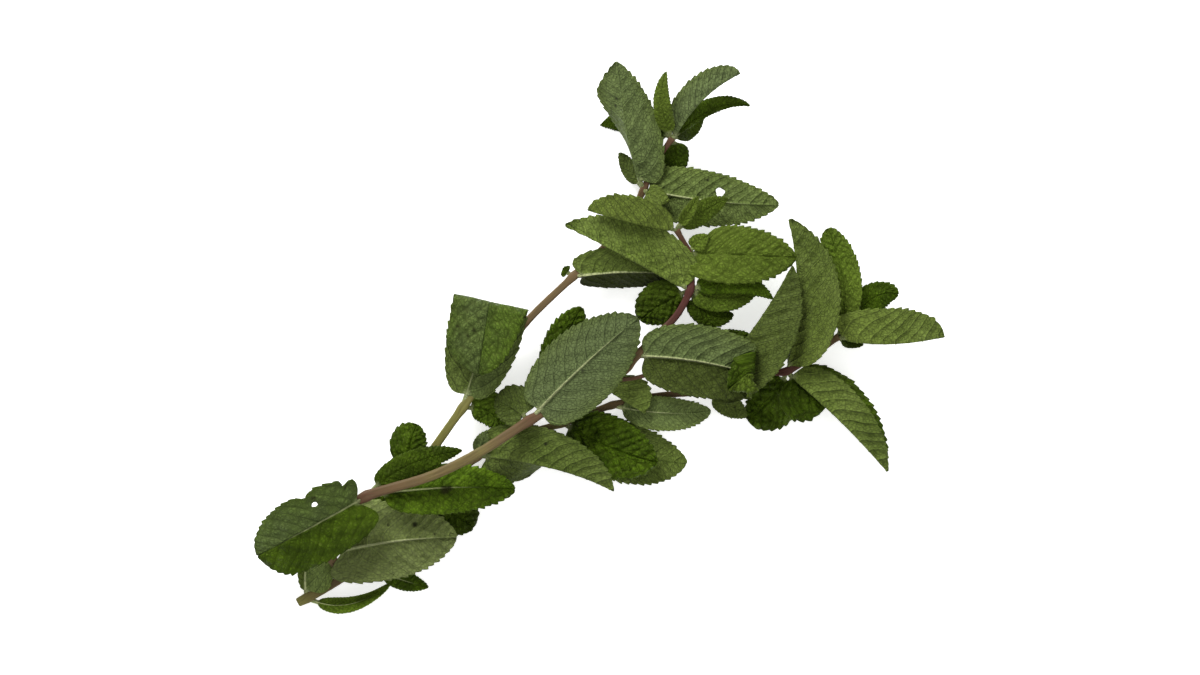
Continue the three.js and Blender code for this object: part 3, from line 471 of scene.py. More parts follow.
# ---- Stems ----
def stem_tube(rows):
    """One stem as places, faces, bark places and redness.

    A rounded square is carried along the centre line. At an angle a its radius is
    (|cos a|^n + |sin a|^n)^(-1/n), with n the SQUARENESS, less a shallow hollow in each flat, times
    the half width with its swelling at the nodes and a slight ripple. Each end is closed by a low
    dome to a point.
    """
    line, others = smooth_line(rows)
    run = run_of(line)
    at = np.linspace(0, run[-1], round(run[-1] / STEM_STATION) + 1)
    centre = sampled(at, run, line)
    half, red = sampled(at, run, others).T
    along = unit(np.gradient(centre, axis=0))
    side = unit(np.stack([-along[:, 1], along[:, 0], 0 * at], axis=1))
    up = np.cross(along, side)
    angle = np.arange(STEM_SIDES) * 2 * np.pi / STEM_SIDES
    square = np.abs(np.cos(angle)) ** SQUARENESS + np.abs(np.sin(angle)) ** SQUARENESS
    square = square ** (-1 / SQUARENESS) * (1 - FLAT_HOLLOW * np.cos(4 * angle))
    ripple = 1 + 0.02 * np.sin(at * 1.7) * np.sin(at * 0.61 + 1)
    reach = (half + swelling(centre)) * ripple
    # Rings: two shrinking ones at each end make the rounded edge of the cut.
    ring = np.r_[0, 0, np.arange(len(at)), len(at) - 1, len(at) - 1]
    shrink = np.r_[0.55, 0.88, np.ones(len(at)), 0.88, 0.55]
    ahead = np.r_[-0.28, -0.2, np.zeros(len(at)), 0.2, 0.28]
    radius = (reach[ring] * shrink)[:, None] * square
    places = centre[ring, None] + side[ring, None] * (radius * np.cos(angle))[..., None]
    places = places + up[ring, None] * (radius * np.sin(angle))[..., None]
    places = places + along[ring, None] * ahead[:, None, None]
    count = len(ring)
    poles = np.stack([centre[0] - along[0] * 0.25, centre[-1] + along[-1] * 0.3])  # tops of the domes
    k = np.arange(STEM_SIDES)
    turn = (k + 1) % STEM_SIDES
    strip = np.stack([k, turn, turn + STEM_SIDES, k + STEM_SIDES], axis=1)
    quads = (np.arange(count - 1)[:, None, None] * STEM_SIDES + strip).reshape(-1, 4)
    last = (count - 1) * STEM_SIDES
    first_pole = np.full(STEM_SIDES, count * STEM_SIDES)
    fans = np.vstack([np.stack([first_pole, turn, k], axis=1),
                      np.stack([first_pole + 1, last + k, last + turn], axis=1)])
    bark = np.stack([np.repeat(at[ring], STEM_SIDES), (radius * angle).ravel(),
                     np.repeat(np.abs(ahead) > 0.1, STEM_SIDES)], axis=1)
    bark = np.vstack([bark, [[0, 0, 1], [run[-1], 0, 1]]])
    redness = np.r_[np.repeat(red[ring], STEM_SIDES), red[0], red[-1]]
    return np.vstack([places.reshape(-1, 3), poles]), [*quads.tolist(), *fans.tolist()], bark, redness


def make_stem():
    """All the stems as one piece: each one's tube, with its faces counted on from the last."""
    places, faces, barks, reds, count = [], [], [], [], 0
    for rows in STEMS.values():
        place, face, bark, red = stem_tube(rows)
        faces += [[corner + count for corner in corners] for corners in face]
        count += len(place)
        places.append(place)
        barks.append(bark)
        reds.append(red)
    return new_mesh("mint_stem", np.vstack(places), faces,
                    {"bark_place": np.vstack(barks), "redness": np.concatenate(reds)})


# ---- Leaves ----
class Midrib:
    """A leaf's midrib as points RIB_STATION apart, with their directions.

    It is one arc from the node to the tip, or, for a leaf folded over at a crease, an arc, a
    round hairpin and a straight run back to the tip.
    """

    def __init__(self, leaf, node):
        node, through, tip = (np.array(place, float) for place in (node, leaf.through, leaf.tip))
        if leaf.crease:
            line = self.folded_line(node, through, tip, np.array(leaf.crease, float))
        else:
            line = arc_through(node, through, tip)
        run = run_of(line)
        self.length = run[-1]
        self.run = np.linspace(0, self.length, math.ceil(self.length / RIB_STATION) + 1)
        self.line = sampled(self.run, run, line)
        self.ahead = unit(np.gradient(self.line, axis=0))
        self.blade_start = self.clear_of_stems() + leaf.petiole
        heading = np.array(leaf.crease or leaf.tip, float) - node
        self.left = np.array([-heading[1], heading[0], 0])

    @staticmethod
    def folded_line(node, through, tip, crease):
        """Arc to the hairpin, a cubic half turn of the height between the two layers, and back."""
        radius = tip[2] - crease[2]
        outwards = unit((crease - through) * [1, 1, 0])
        low, high = (crease - radius * outwards + [0, 0, side * radius] for side in (-1, 1))
        handle = outwards * radius * 4 / 3  # makes the cubic's half turn nearly round
        t = np.linspace(0, 1, 60)[:, None]
        turn = (1 - t) ** 3 * low + 3 * (1 - t) ** 2 * t * (low + handle)
        turn = turn + 3 * (1 - t) * t**2 * (high + handle) + t**3 * high
        return np.vstack([arc_through(node, through, low), turn[1:], high + (tip - high) * t[1:]])

    def clear_of_stems(self):
        """First distance, in steps of 0.25 mm, where a petiole is clear of every stem."""
        at = np.arange(1, self.length * 0.8, 0.25)
        place = sampled(at, self.run, self.line)
        room = np.linalg.norm(place[:, None] - STEM_PLACES, axis=2) - STEM_REACHES
        return at[np.argmax(room.min(axis=1) > STEM_GAP)]

    def share(self, along):
        """How far along the blade a place is, from 0 at the blade's start to 1 at the tip."""
        return clipped((along - self.blade_start) / (self.length - self.blade_start))


def half_width(leaf, hand, share):
    """Half width at a share u of the blade: (u/m)^a ((1-u)/(1-m))^b times the full half width.

    The exponents a and b are the fullness of the base and of the tip, and m = a / (a + b) is the
    widest place. The width never falls under BASE_HALF_WIDTH before it or TIP_HALF_WIDTH beyond it.
    """
    base, tip = leaf.base_fullness, leaf.tip_fullness
    widest = base / (base + tip)
    full = (share / widest) ** base * ((1 - share) / (1 - widest)) ** tip
    thinnest = np.where(share < widest, BASE_HALF_WIDTH, TIP_HALF_WIDTH)
    return np.maximum(np.where(hand > 0, *leaf.width) * full, thinnest)


def rise(rises, share):
    """Rise in radians: the values at base, middle and tip blended as a quadratic Bezier."""
    rises = np.ravel(rises)
    first, last = rises[0], rises[-1]
    middle = rises[1] if len(rises) == 3 else (first + last) / 2
    value = (1 - share) ** 2 * first + 2 * (1 - share) * share * middle + share**2 * last
    return np.radians(np.maximum(value, FOLDED))


def blade_surface(leaf, rib, along, across, phase):
    """Places of the blade's middle surface at distances along the midrib and across from it.

    From the midrib outwards each half turns, over MIDRIB_BEND, from the mean of both halves'
    slopes to its own slope, and its steps are summed. The margin is waved with a sine, the blade
    sweeps back round its base as a lobe, and nothing sinks below LOWEST.
    """
    hand = np.where(across >= 0, 1.0, -1.0)
    reach = np.abs(across)
    centre = sampled(along, rib.run, rib.line)
    ahead = unit(sampled(along, rib.run, rib.ahead))
    left = unit(rib.left - (ahead @ rib.left)[..., None] * ahead)
    up = np.cross(ahead, left)
    through = along / rib.length
    slopes = rise(leaf.left, through), rise(leaf.right, through)
    own, other = np.where(hand > 0, slopes, slopes[::-1])
    step = (reach / BEND_STEPS)[..., None]
    bend = clipped((np.arange(BEND_STEPS) + 0.5) * step / MIDRIB_BEND)
    slope = (own - other)[..., None] / 2 * (1 - bend) + own[..., None] * bend
    place = centre + left * (hand[..., None] * (np.cos(slope) * step).sum(-1, keepdims=True))
    place = place + up * (np.sin(slope) * step).sum(-1, keepdims=True)
    back = by_half(leaf.lobe, across) * (1 - rib.share(along)) ** 4
    back = back * np.maximum(0, reach - PETIOLE_HALF_WIDTH)
    edge = np.clip(reach / half_width(leaf, hand, rib.share(along)), 0, 1.1)
    wave = MARGIN_WAVE * np.sin(2 * np.pi * WAVES_PER_BLADE * through + phase + hand) * edge**2
    place = place - ahead * back[..., None] + up * wave[..., None]
    place[..., 2] = np.maximum(place[..., 2], LOWEST)
    return place


def notches(leaf, hand, share):
    """Share of the half width that is missing at each place: a bell curve for each notch."""
    missing = 0 * share * hand
    for notched, middle, reach, depth in leaf.notches:
        bell = depth * np.exp(-(((share - middle) / reach) ** 2))
        missing = missing + np.where(hand == notched, bell, 0)
    return missing


def tooth_grid(leaf, rib, sizes, seed):
    """Grid of places in the flat blade, as arrays along and across, and each column's share.

    Rows lie at equal steps of the margin's own length, five to a tooth. Each tooth rises slowly
    and falls steeply towards the tip, and its height and its lean grow with a high power of the
    distance from the midrib, so only the margin has teeth.
    """
    rng = np.random.default_rng(seed)
    u = np.linspace(0, 1, 800) ** 1.5  # shares close together at the base, where the margin turns
    blade = rib.length - rib.blade_start
    mean = (half_width(leaf, 1, u) + half_width(leaf, -1, u)) / 2
    run = run_of(np.stack([u * blade, mean], axis=1))
    spacing = sizes.tooth_spacing / MM * leaf.scale(9, 0.5)
    count = int(np.clip(round(run[-1] / spacing), *TOOTH_COUNT))
    marks = (np.arange(count)[:, None] + TOOTH_ROWS).ravel() / count
    share = np.interp(np.r_[marks, 1] * run[-1], run, u)
    petiole = np.linspace(PETIOLE_FOOT, rib.blade_start, 7)[:-1]
    rows = np.r_[petiole, rib.blade_start + share * blade]
    columns = int(np.clip(round(max(leaf.width) / COLUMN), *COLUMN_COUNT))
    outwards = (np.arange(1, columns + 1) / columns) ** COLUMN_POWER
    lines = np.r_[-outwards[::-1], 0, outwards]
    hand = np.where(lines >= 0, 1, -1)
    width = half_width(leaf, hand[None], rib.share(rows)[:, None])
    width = width * (1 - notches(leaf, hand[None], rib.share(rows)[:, None]))
    deep = sizes.tooth_depth / MM * leaf.scale(9, 0)
    height = deep * rng.uniform(0.45, 1.3, (2, count, 1)) * TOOTH_SHAPE - deep / 2
    height = np.pad(height.reshape(2, -1), ((0, 0), (len(petiole), 1)))
    height = height * clipped(rib.share(rows) * 12) * np.clip((1 - rib.share(rows)) * 12, 0.3, 1)
    tooth = np.where(hand[None] > 0, height[0][:, None], height[1][:, None])
    across = lines * width + hand * tooth * np.abs(lines) ** MARGIN_POWER
    lean = (tooth + deep / 2) * TOOTH_LEAN * np.abs(lines) ** MARGIN_POWER  # moves it to the tip
    along = np.minimum(rows[:, None] + lean, rib.length)
    return along, across, np.abs(lines) + 0 * rows[:, None]


def cells(x, y, seed):
    """Cell pattern: for each place, how much further its second nearest seed is than its nearest.

    The seeds stand one in each square of a unit grid, at a place worked out from sines.
    """
    column, row = np.floor(x), np.floor(y)
    offsets = np.arange(-1, 2)
    i = (column[..., None, None] + offsets[:, None]).astype(float)
    j = (row[..., None, None] + offsets).astype(float)
    i, j = np.broadcast_arrays(i, j)
    jitter_x = np.modf(np.abs(np.sin(i * 127.1 + j * 311.7 + seed) * 43758.5))[0]
    jitter_y = np.modf(np.abs(np.sin(i * 269.5 + j * 183.3 + seed * 2) * 28001.8))[0]
    apart = np.hypot(i + 0.1 + 0.8 * jitter_x - x[..., None, None],
                     j + 0.1 + 0.8 * jitter_y - y[..., None, None])
    nearest = np.sort(apart.reshape(*x.shape, 9), axis=-1)
    return nearest[..., 1] - nearest[..., 0]


def vein_fields(leaf, rib, along, across, sizes, seed):
    """The veins at each place: side-vein count, cell pattern and closeness to the midrib.

    Side veins leave the midrib at a slant and arch towards the tip: the count is
    (along - s (0.75 e + 0.5 e^2)) / spacing, with e the distance from the midrib as a share of the
    full half width and s that width, so a vein runs wherever the count is a whole number. Small
    sines make the veins wander, and the two halves' veins alternate. The cells are a little longer
    along the side veins than across them.
    """
    full = max(leaf.width)
    spacing = sizes.vein_spacing / MM * leaf.scale(12, 0.45)
    e = np.abs(across) / full
    hand = np.tanh(2 * across)
    wobble = 0.2 * np.sin(across * 0.3 + seed) * np.sin(along * 0.25 + seed * 1.7 + hand)
    wobble = wobble + 0.07 * np.sin(across * 0.9 + seed * 2.3) * clipped(e * 3)
    count = (along - rib.blade_start - full * (0.75 * e + 0.5 * e**2)) / spacing
    count = count + 0.22 * hand + wobble
    size = sizes.cell_size / MM * leaf.scale(10, 0.6)
    ahead, sideways = count * spacing / 1.5, (np.abs(across) + 1.1 * along) / 2.0
    net = cells(ahead / size, hand * 50 + sideways / size, seed)
    rib_width = RIB_TIP_WIDTH + (RIB_BASE_WIDTH - RIB_TIP_WIDTH) * (1 - rib.share(along)) ** 1.5
    closeness = np.exp(-((across / (rib_width * leaf.scale(9, 0.5))) ** 2))
    return count, net, closeness


def relief_of(leaf, rib, along, across, edge, veins, sizes, seed):
    """How far the blade bulges towards its upper side.

    It rises from each side vein to the middle of the strip beside it as 1 - (1 - b)^2, with b from
    0 at a vein to 1 half way to the next, again in each cell of the net, and in broad swellings, a
    product of sines. It is level at the midrib and at the petiole, and a quarter of the height is
    left at the margin.
    """
    count, net, closeness = veins
    between = 2 * np.abs(count - np.round(count))
    bulge = sizes.vein_relief / MM * (1 - (1 - between) ** 2)
    bulge = bulge + sizes.cell_relief / MM * clipped(net / 0.4)
    swell = np.sin(along * 0.62 + across * 0.25 + seed) * np.sin(across * 0.7 + seed * 1.9)
    level = (1 - closeness) * clipped(rib.share(along) * 10) * (1 - 0.75 * edge**6)
    crinkle = (1 if leaf.side == UP else UNDERSIDE_CRINKLE) * by_half(leaf.crinkle, across)
    return leaf.scale(9, 0.45) * level * (crinkle * (bulge - RELIEF_DROP) + SWELL * swell)


def sheet_normals(places):
    """Which way a grid of places faces: its slope along the rows crossed with that across."""
    return unit(np.cross(np.gradient(places, axis=0), np.gradient(places, axis=1)))


def hole_in_grid(leaf, places, along, across):
    """Opens a hole: where the grid's places go, with those round it on its rim, and what is cut.

    The rim is a circle with two small waves on it.
    """
    x, y, radius = leaf.hole
    away = np.hypot(places[..., 0] - x, places[..., 1] - y)
    row, column = np.unravel_index(away.argmin(), along.shape)
    a, c = along - along[row, column], across - across[row, column]
    distance = np.hypot(a, c)
    middle_a, middle_c = ((v[1:, 1:] + v[:-1, 1:] + v[1:, :-1] + v[:-1, :-1]) / 4 for v in (a, c))
    cut = np.hypot(middle_a, middle_c) < radius
    padded = np.pad(cut, 1)
    squares = np.stack([padded[1:, 1:], padded[:-1, 1:], padded[1:, :-1], padded[:-1, :-1]])
    rim = squares.any(axis=0) & ~squares.all(axis=0)  # places with squares kept and squares cut out
    turn = np.arctan2(c, a)
    wanted = radius * (1 + 0.12 * np.sin(3 * turn + 1) + 0.06 * np.sin(5 * turn))
    scale = np.where(rim, wanted / np.maximum(distance, 1e-6), 1)
    return along[row, column] + a * scale, across[row, column] + c * scale, cut


def shell_faces(shape, cut):
    """Faces of a closed shell.

    They are the grid's squares, the same turned over on the other skin, and a wall at every edge
    that has a square on one side only.
    """
    rows, columns = shape
    number = np.arange(rows * columns).reshape(shape)
    a, b, c, d = number[:-1, :-1], number[1:, :-1], number[1:, 1:], number[:-1, 1:]
    squares = np.stack([a, b, c, d], axis=-1)[~cut]
    start = squares.T.ravel()
    end = np.roll(squares, -1, axis=1).T.ravel()
    total = rows * columns
    lone = ~np.isin(start * total + end, end * total + start)  # no square runs back along the edge
    start, end = start[lone], end[lone]
    walls = np.stack([end, start, start + total, end + total], axis=1)
    return squares, squares[:, ::-1] + total, walls


def skins_of(leaf, rib, middle, facing, along, across, edge, veins, sizes):
    """Both skins, the one that faces up first, and how far each place is on the petiole.

    The upper side lies half the thickness off the middle surface. The underside lies as far off,
    and further off along the side veins and the midrib, whose ridge fades from the base to the tip.
    The skins draw together a little at the margin, and are rounded round the petiole.
    """
    count, _, closeness = veins
    share = rib.share(along)
    on_petiole = clipped(1 - share * 25) * clipped(1.8 - np.abs(across))
    half = sizes.thickness / MM / 2 * (1 - 0.4 * edge**8)
    round_off = np.sqrt(np.clip(1 - edge**2, 0.02, 1))
    ridge = sizes.rib_height / MM * (1 - 0.85 * share) * leaf.scale(10, 0.35)
    vein = clipped(1 - np.abs(count - np.round(count)) / 0.1) * VEIN_HEIGHT * (1 - edge**4)
    below = half + closeness * ridge * (1 - on_petiole) + vein * (1 - on_petiole)
    above = half - 0.5 * half * closeness * (1 - on_petiole)
    above = above * (1 - on_petiole) + PETIOLE_ABOVE * round_off * on_petiole
    below = below * (1 - on_petiole) + PETIOLE_BELOW * round_off * on_petiole
    high, low = (above, below) if leaf.side == UP else (below, above)
    skins = np.stack([middle + facing * high[..., None], middle - facing * low[..., None]])
    skins[..., 2] += np.maximum(0, LOWEST_SKIN - skins[..., 2].min(axis=0))
    return skins, on_petiole


def looks_of(leaf, rib, along, across, edge, veins):
    """What the materials read at each place: the veins, and how pale, light, young and grey it is.
    The lightness holds painted light and shade, and the grey holds painted sheen.
    """
    count, net, closeness = veins
    share = rib.share(along)
    pale = closeness * leaf.rib * (1 - 0.8 * clipped(share * 1.8 - 0.8))
    turned = sampled(along, rib.run, rib.ahead) @ [rib.left[1], -rib.left[0], 0] < 0
    # The tone holds painted light and shade, half by half.
    tone = np.where(turned, by_half(leaf.turned_tone_and_painted_light, across), by_half(leaf.tone, across))
    bloom_and_sheen = np.where(turned, by_half(leaf.turned_bloom_and_sheen, across), by_half(leaf.bloom_and_sheen, across))
    youth = by_half(leaf.youth, across) + leaf.fresh * (1 - share) ** 2
    plain = NET_WIDTH * (1 - by_half(leaf.crinkle, across))
    return {
        "leaf_place": np.stack([count, along, across], axis=-1), "net": np.maximum(net, plain),
        "rib": np.maximum(pale, leaf.faded), "tone": tone, "youth": np.minimum(youth, 1),
        "bloom_and_sheen": bloom_and_sheen * (1 - 0.6 * edge**4),
    }


def make_leaf(name, index, sizes):
    """One leaf: its middle surface, bulged between the veins, with a skin to each side of it.

    A half that is folded under the other has the other's veins, and bulges the other way, so the
    two lie close.
    """
    leaf = LEAVES[name]
    rib = Midrib(leaf, NODES[name[:2]])
    phase = index * PHASE_STEP
    along, across, edge = tooth_grid(leaf, rib, sizes, seed=index)
    cut = np.zeros((along.shape[0] - 1, along.shape[1] - 1), bool)
    if leaf.hole:
        flat = blade_surface(leaf, rib, along, across, phase)
        along, across, cut = hole_in_grid(leaf, flat, along, across)
    middle = blade_surface(leaf, rib, along, across, phase)
    hidden = by_half([np.min(half) < UNDER for half in (leaf.left, leaf.right)], across)
    above_it = np.where(hidden, -across, across)  # the place that lies on a hidden one
    seed = index * SEED_STEP
    veins = vein_fields(leaf, rib, along, above_it, sizes, seed)
    bulge = relief_of(leaf, rib, along, above_it, edge * ~hidden, veins, sizes, seed)
    bulge = leaf.side * bulge * np.where(hidden, -1, 1)
    facing = sheet_normals(middle)
    middle = middle + facing * (bulge * np.abs(facing[..., 2]))[..., None]
    skins, on_petiole = skins_of(leaf, rib, middle, facing, along, across, edge, veins, sizes)
    fields = looks_of(leaf, rib, along, across, edge, veins)
    fields.update(spot=spots_at(leaf, middle), petiole=on_petiole)

    top, bottom, walls = shell_faces(along.shape, cut)
    faces = np.vstack([top, bottom, walls])
    used = np.zeros(2 * along.size, bool)
    used[faces] = True
    renumbered = np.cumsum(used) - 1
    attributes = {key: both_skins(values)[used] for key, values in fields.items()}
    piece = new_mesh(f"mint_leaf_{name}", skins.reshape(-1, 3)[used], renumbered[faces], attributes)
    upper, lower = (0, 1) if leaf.side == UP else (1, 0)
    materials = np.repeat([upper, lower, 1], [len(top), len(bottom), len(walls)])
    smooth = np.arange(len(faces)) < len(top) + len(bottom)
    piece.data.polygons.foreach_set("material_index", materials.astype(np.int32))
    piece.data.polygons.foreach_set("use_smooth", smooth)
    return piece


def by_half(value, across):
    """A number for the whole blade, or a pair of them as its left and right halves' own numbers."""
    pair = np.ravel([value])
    return np.where(across > 0, pair[0], pair[-1])


def both_skins(values):
    """A grid's values, flattened and repeated for the second skin."""
    flat = values.reshape(-1, 3) if values.ndim == 3 else values.ravel()
    return np.concatenate([flat, flat])


def spots_at(leaf, places):
    """Darkness of the leaf's spots at each place: a bell curve round each spot, and the greatest."""
    dark = np.zeros(places.shape[:2])
    for x, y, radius in leaf.spots:
        away = np.hypot(places[..., 0] - x, places[..., 1] - y) / radius
        dark = np.maximum(dark, np.exp(-(away**6)))
    return dark


# ---- Materials ----
class Finish:
    """A material whose nodes are added one after another."""

    def __init__(self, name):
        self.material = bpy.data.materials.new(name)
        self.material.use_nodes = True
        self.tree = self.material.node_tree
        self.shader = self.tree.nodes["Principled BSDF"]

    def add(self, kind, inputs, output=0, **settings):
        """Adds a shader node with its inputs, by name or number, and gives one of its outputs."""
        node = self.tree.nodes.new("ShaderNode" + kind)
        for key, value in settings.items():
            setattr(node, key, value)
        for key, value in inputs.items():
            self.feed(node.inputs[key], value)
        return node.outputs[output]

    def feed(self, socket, value):
        """Links an output to a socket, or sets the socket to a number or colour."""
        if isinstance(value, bpy.types.NodeSocket):
            self.tree.links.new(value, socket)
        elif hasattr(value, "__len__") and len(value) == 3 and socket.type == "RGBA":
            socket.default_value = (*value, 1)
        else:
            socket.default_value = value

    def value(self, name):
        """A number that the mesh holds at each vertex."""
        return self.add("Attribute", {}, "Fac", attribute_name=name)

    def place(self, name):
        """A vector that the mesh holds at each vertex."""
        return self.add("Attribute", {}, "Vector", attribute_name=name)

    def objects(self):
        """Object coordinates."""
        return self.add("TexCoord", {}, "Object")

    def math(self, operation, *values):
        """One Math node."""
        return self.add("Math", dict(enumerate(values)), operation=operation)

    def times(self, a, b):
        """Two numbers multiplied."""
        return self.math("MULTIPLY", a, b)

    def larger(self, a, b):
        """The larger of two numbers."""
        return self.math("MAXIMUM", a, b)

    def scaled(self, vector, amount):
        """A colour made lighter or darker by a number that may vary over the surface."""
        return self.add("VectorMath", {0: vector, "Scale": amount}, operation="SCALE")

    def stretched(self, vector, amounts):
        """A vector with each of its parts multiplied."""
        return self.add("VectorMath", {0: vector, 1: amounts}, operation="MULTIPLY")

    def ramp(self, value, low, high, to_low=0.0, to_high=1.0):
        """A smooth step from one value to another."""
        inputs = {"Value": value, "From Min": low, "From Max": high, "To Min": to_low, "To Max": to_high}
        return self.add("MapRange", inputs, interpolation_type="SMOOTHSTEP")

    def mix(self, share, a, b):
        """Two colours mixed."""
        return self.add("Mix", {0: share, 6: a, 7: b}, 2, data_type="RGBA")

    def noise(self, scale, detail=3, where=None, rough=0.55):
        """Cloudy noise from 0 to 1, on Object coordinates unless told otherwise."""
        inputs = {"Vector": where or self.objects(), "Scale": scale, "Detail": detail, "Roughness": rough}
        return self.add("TexNoise", inputs, "Fac")

    def finish(self, colour, roughness, height, depth, **numbers):
        """Feeds the shader: its colour, its roughness and a bump of a given depth in metres."""
        self.feed(self.shader.inputs["Base Color"], colour)
        self.feed(self.shader.inputs["Roughness"], roughness)
        bump = self.add("Bump", {"Height": height, "Distance": depth, "Strength": 1.0})
        self.feed(self.shader.inputs["Normal"], bump)
        for key, number in numbers.items():
            self.shader.inputs[key.replace("_", " ")].default_value = number
        return self.material


def vein_lines(finish, net_width):
    """Closeness, from 0 to 1, to the side veins, to a band of painted shadow on one side of each,
    and to the fine net.
    """
    place = finish.place("leaf_place")
    count = finish.add("SeparateXYZ", {0: place}, 0)
    side = finish.ramp(finish.math("PINGPONG", count, 0.5), 0.015, 0.075, 1.0, 0.0)
    past = finish.math("FRACT", count)
    # Painted shadow: a dark band on one side of each side vein, as if the raised vein cast it.
    painted_vein_shadow = finish.times(finish.ramp(past, 0.03, 0.08), finish.ramp(past, 0.08, 0.26, 1.0, 0.0))
    where = finish.stretched(place, (2.0, 0.8, 0.8))
    net = finish.add("TexVoronoi", {"Vector": where, "Scale": 1.0, "Randomness": 1.0},
                     "Distance", feature="DISTANCE_TO_EDGE")
    return side, painted_vein_shadow, finish.ramp(net, 0.0, net_width, 1.0, 0.0)


def aged(skin, colour, young, bloom_and_sheen_colour):
    """A leaf's colour with its youth and its grey bloom, each as strong as the mesh says; the grey
    stands for fine hairs and also for painted sheen.
    """
    colour = skin.mix(skin.value("youth"), colour, young)
    # Painted sheen: the grey bloom also stands for sheen, and lightens some shaded halves.
    return skin.mix(skin.value("bloom_and_sheen"), colour, bloom_and_sheen_colour)


def marked(skin, colour, pale_from, pale_to, midrib):
    """A leaf's colour with its pale midrib and petiole, its dark spots and its own tone, which also
    holds painted light and shade.
    """
    colour = skin.mix(skin.ramp(skin.value("rib"), pale_from, pale_to), colour, midrib)
    colour = skin.mix(skin.times(skin.value("petiole"), 0.5), colour, midrib)
    # Painted light and shade: the tone lightens shaded leaves and darkens halves turned from the light.
    colour = skin.scaled(colour, skin.value("tone"))
    return skin.mix(skin.times(skin.value("spot"), 0.85), colour, SPOT)


def upper_skin(skin, colours):
    """Upper side: deep green, with painted shade in the sunken veins, a painted highlight on the
    bulges and a soft gloss.
    """
    side, painted_vein_shadow, net = vein_lines(skin, 0.2)
    patches = skin.ramp(skin.noise(130, rough=0.6), 0.35, 0.65)
    grain = skin.noise(1500, detail=2)
    colour = skin.mix(patches, colours.upper_deep, colours.upper_light)
    colour = aged(skin, colour, colours.young_upper, colours.bloom_and_sheen)
    vein = skin.larger(side, skin.times(painted_vein_shadow, 0.6))
    groove = skin.larger(skin.times(net, 0.55), skin.times(vein, 0.65))
    groove = skin.larger(groove, skin.ramp(skin.value("net"), 0.0, NET_WIDTH, 0.8, 0.0))
    # Painted shade and highlight: darker in the sunken veins, the net and the painted vein shadow, lighter
    # on the bulges between them.
    colour = skin.scaled(colour, skin.ramp(groove, 0.0, 1.0, 1.25, 0.45))
    colour = skin.scaled(colour, skin.ramp(grain, 0.2, 0.8, 0.85, 1.15))
    colour = marked(skin, colour, 0.35, 1.1, colours.midrib)
    roughness = skin.ramp(skin.noise(300), 0.3, 0.7, 0.42, 0.6)
    height = skin.math("SUBTRACT", skin.times(grain, 0.4), groove)
    return skin.finish(colour, roughness, height, 0.0003, Specular_IOR_Level=0.15,
                       Specular_Tint=(1.0, 1.0, 0.3, 1.0))


def under_skin(skin, colours):
    """Underside: matt grey-green, with a pale midrib and raised, slightly paler side veins, each with
    a painted shadow on one side.
    """
    side, painted_vein_shadow, net = vein_lines(skin, 0.16)
    patches = skin.ramp(skin.noise(80, rough=0.65), 0.35, 0.65)
    grain = skin.noise(1800, detail=2)
    colour = skin.mix(patches, colours.under_deep, colours.under_light)
    colour = aged(skin, colour, colours.young_under, colours.bloom_and_sheen)
    colour = skin.scaled(colour, skin.ramp(skin.value("net"), 0.0, NET_WIDTH, 0.8, 1.06))
    colour = skin.scaled(colour, skin.ramp(net, 0.0, 1.0, 1.02, 0.88))
    # Painted shadow beside each side vein.
    colour = skin.scaled(colour, skin.ramp(painted_vein_shadow, 0.0, 1.0, 1.02, 0.73))
    colour = skin.scaled(colour, skin.ramp(side, 0.0, 1.0, 1.0, 1.35))
    colour = skin.scaled(colour, skin.ramp(grain, 0.2, 0.8, 0.88, 1.12))
    colour = marked(skin, colour, 0.3, 0.85, colours.midrib)
    roughness = skin.ramp(skin.noise(300), 0.3, 0.7, 0.6, 0.75)
    height = skin.math("SUBTRACT", skin.math("ADD", skin.times(grain, 0.4), side), net)
    return skin.finish(colour, roughness, height, 0.00022, Specular_IOR_Level=0.08,
                       Sheen_Weight=0.02, Sheen_Roughness=0.5)


def stem_bark(bark, colours):
    """Bark: olive to tan and purple-red, as redness says, with fine streaks along it."""
    place = bark.place("bark_place")
    streak = bark.noise(1.0, detail=4, where=bark.stretched(place, (0.12, 2.2, 0.0)))
    patch = bark.math("ADD", bark.value("redness"), bark.times(bark.noise(110), 0.25))
    colour = bark.mix(bark.ramp(patch, 0.08, 0.4), colours.green, colours.bark)
    red = bark.math("ADD", bark.value("redness"), bark.times(streak, 0.5))
    colour = bark.mix(bark.ramp(red, 0.45, 1.2), colour, colours.blush)
    colour = bark.scaled(colour, bark.ramp(streak, 0.25, 0.75, 0.75, 1.2))
    cut = bark.add("SeparateXYZ", {0: place}, 2)
    colour = bark.mix(bark.times(cut, 0.6), colour, colours.bark)
    roughness = bark.ramp(streak, 0.3, 0.7, 0.5, 0.65)
    height = bark.math("ADD", streak, bark.times(bark.noise(2500), 0.3))
    return bark.finish(colour, roughness, height, 0.00018, Specular_IOR_Level=0.2)


def material(name, make, colours):
    """The named material, made if it isn't there yet."""
    return bpy.data.materials.get(name) or make(Finish(name), colours)


def make_leaves(context, stems):
    """Makes the leaves whose names start with one of the given letters."""
    scene = context.scene
    upper = material("Mint leaf upper side", upper_skin, scene.mint_leaf_colours)
    under = material("Mint leaf underside", under_skin, scene.mint_leaf_colours)
    for index, name in enumerate(LEAVES):
        if name[0] in stems:
            piece = make_leaf(name, index, scene.mint_leaf_sizes)
            piece.data.materials.append(upper)
            piece.data.materials.append(under)
            finish_piece(piece, f"leaf_{name}")


# ---- Operators ----
FLOOR_HEIGHT = -0.00005  # in metres, as are the next two
MID_HEIGHT = 0.012  # the sprig's
VIEW_MIDDLE = (0.00027, 0.00017)  # x and y of the place that the camera looks down at
WORLD_STRENGTH = 0.62  # of the even white light from all sides


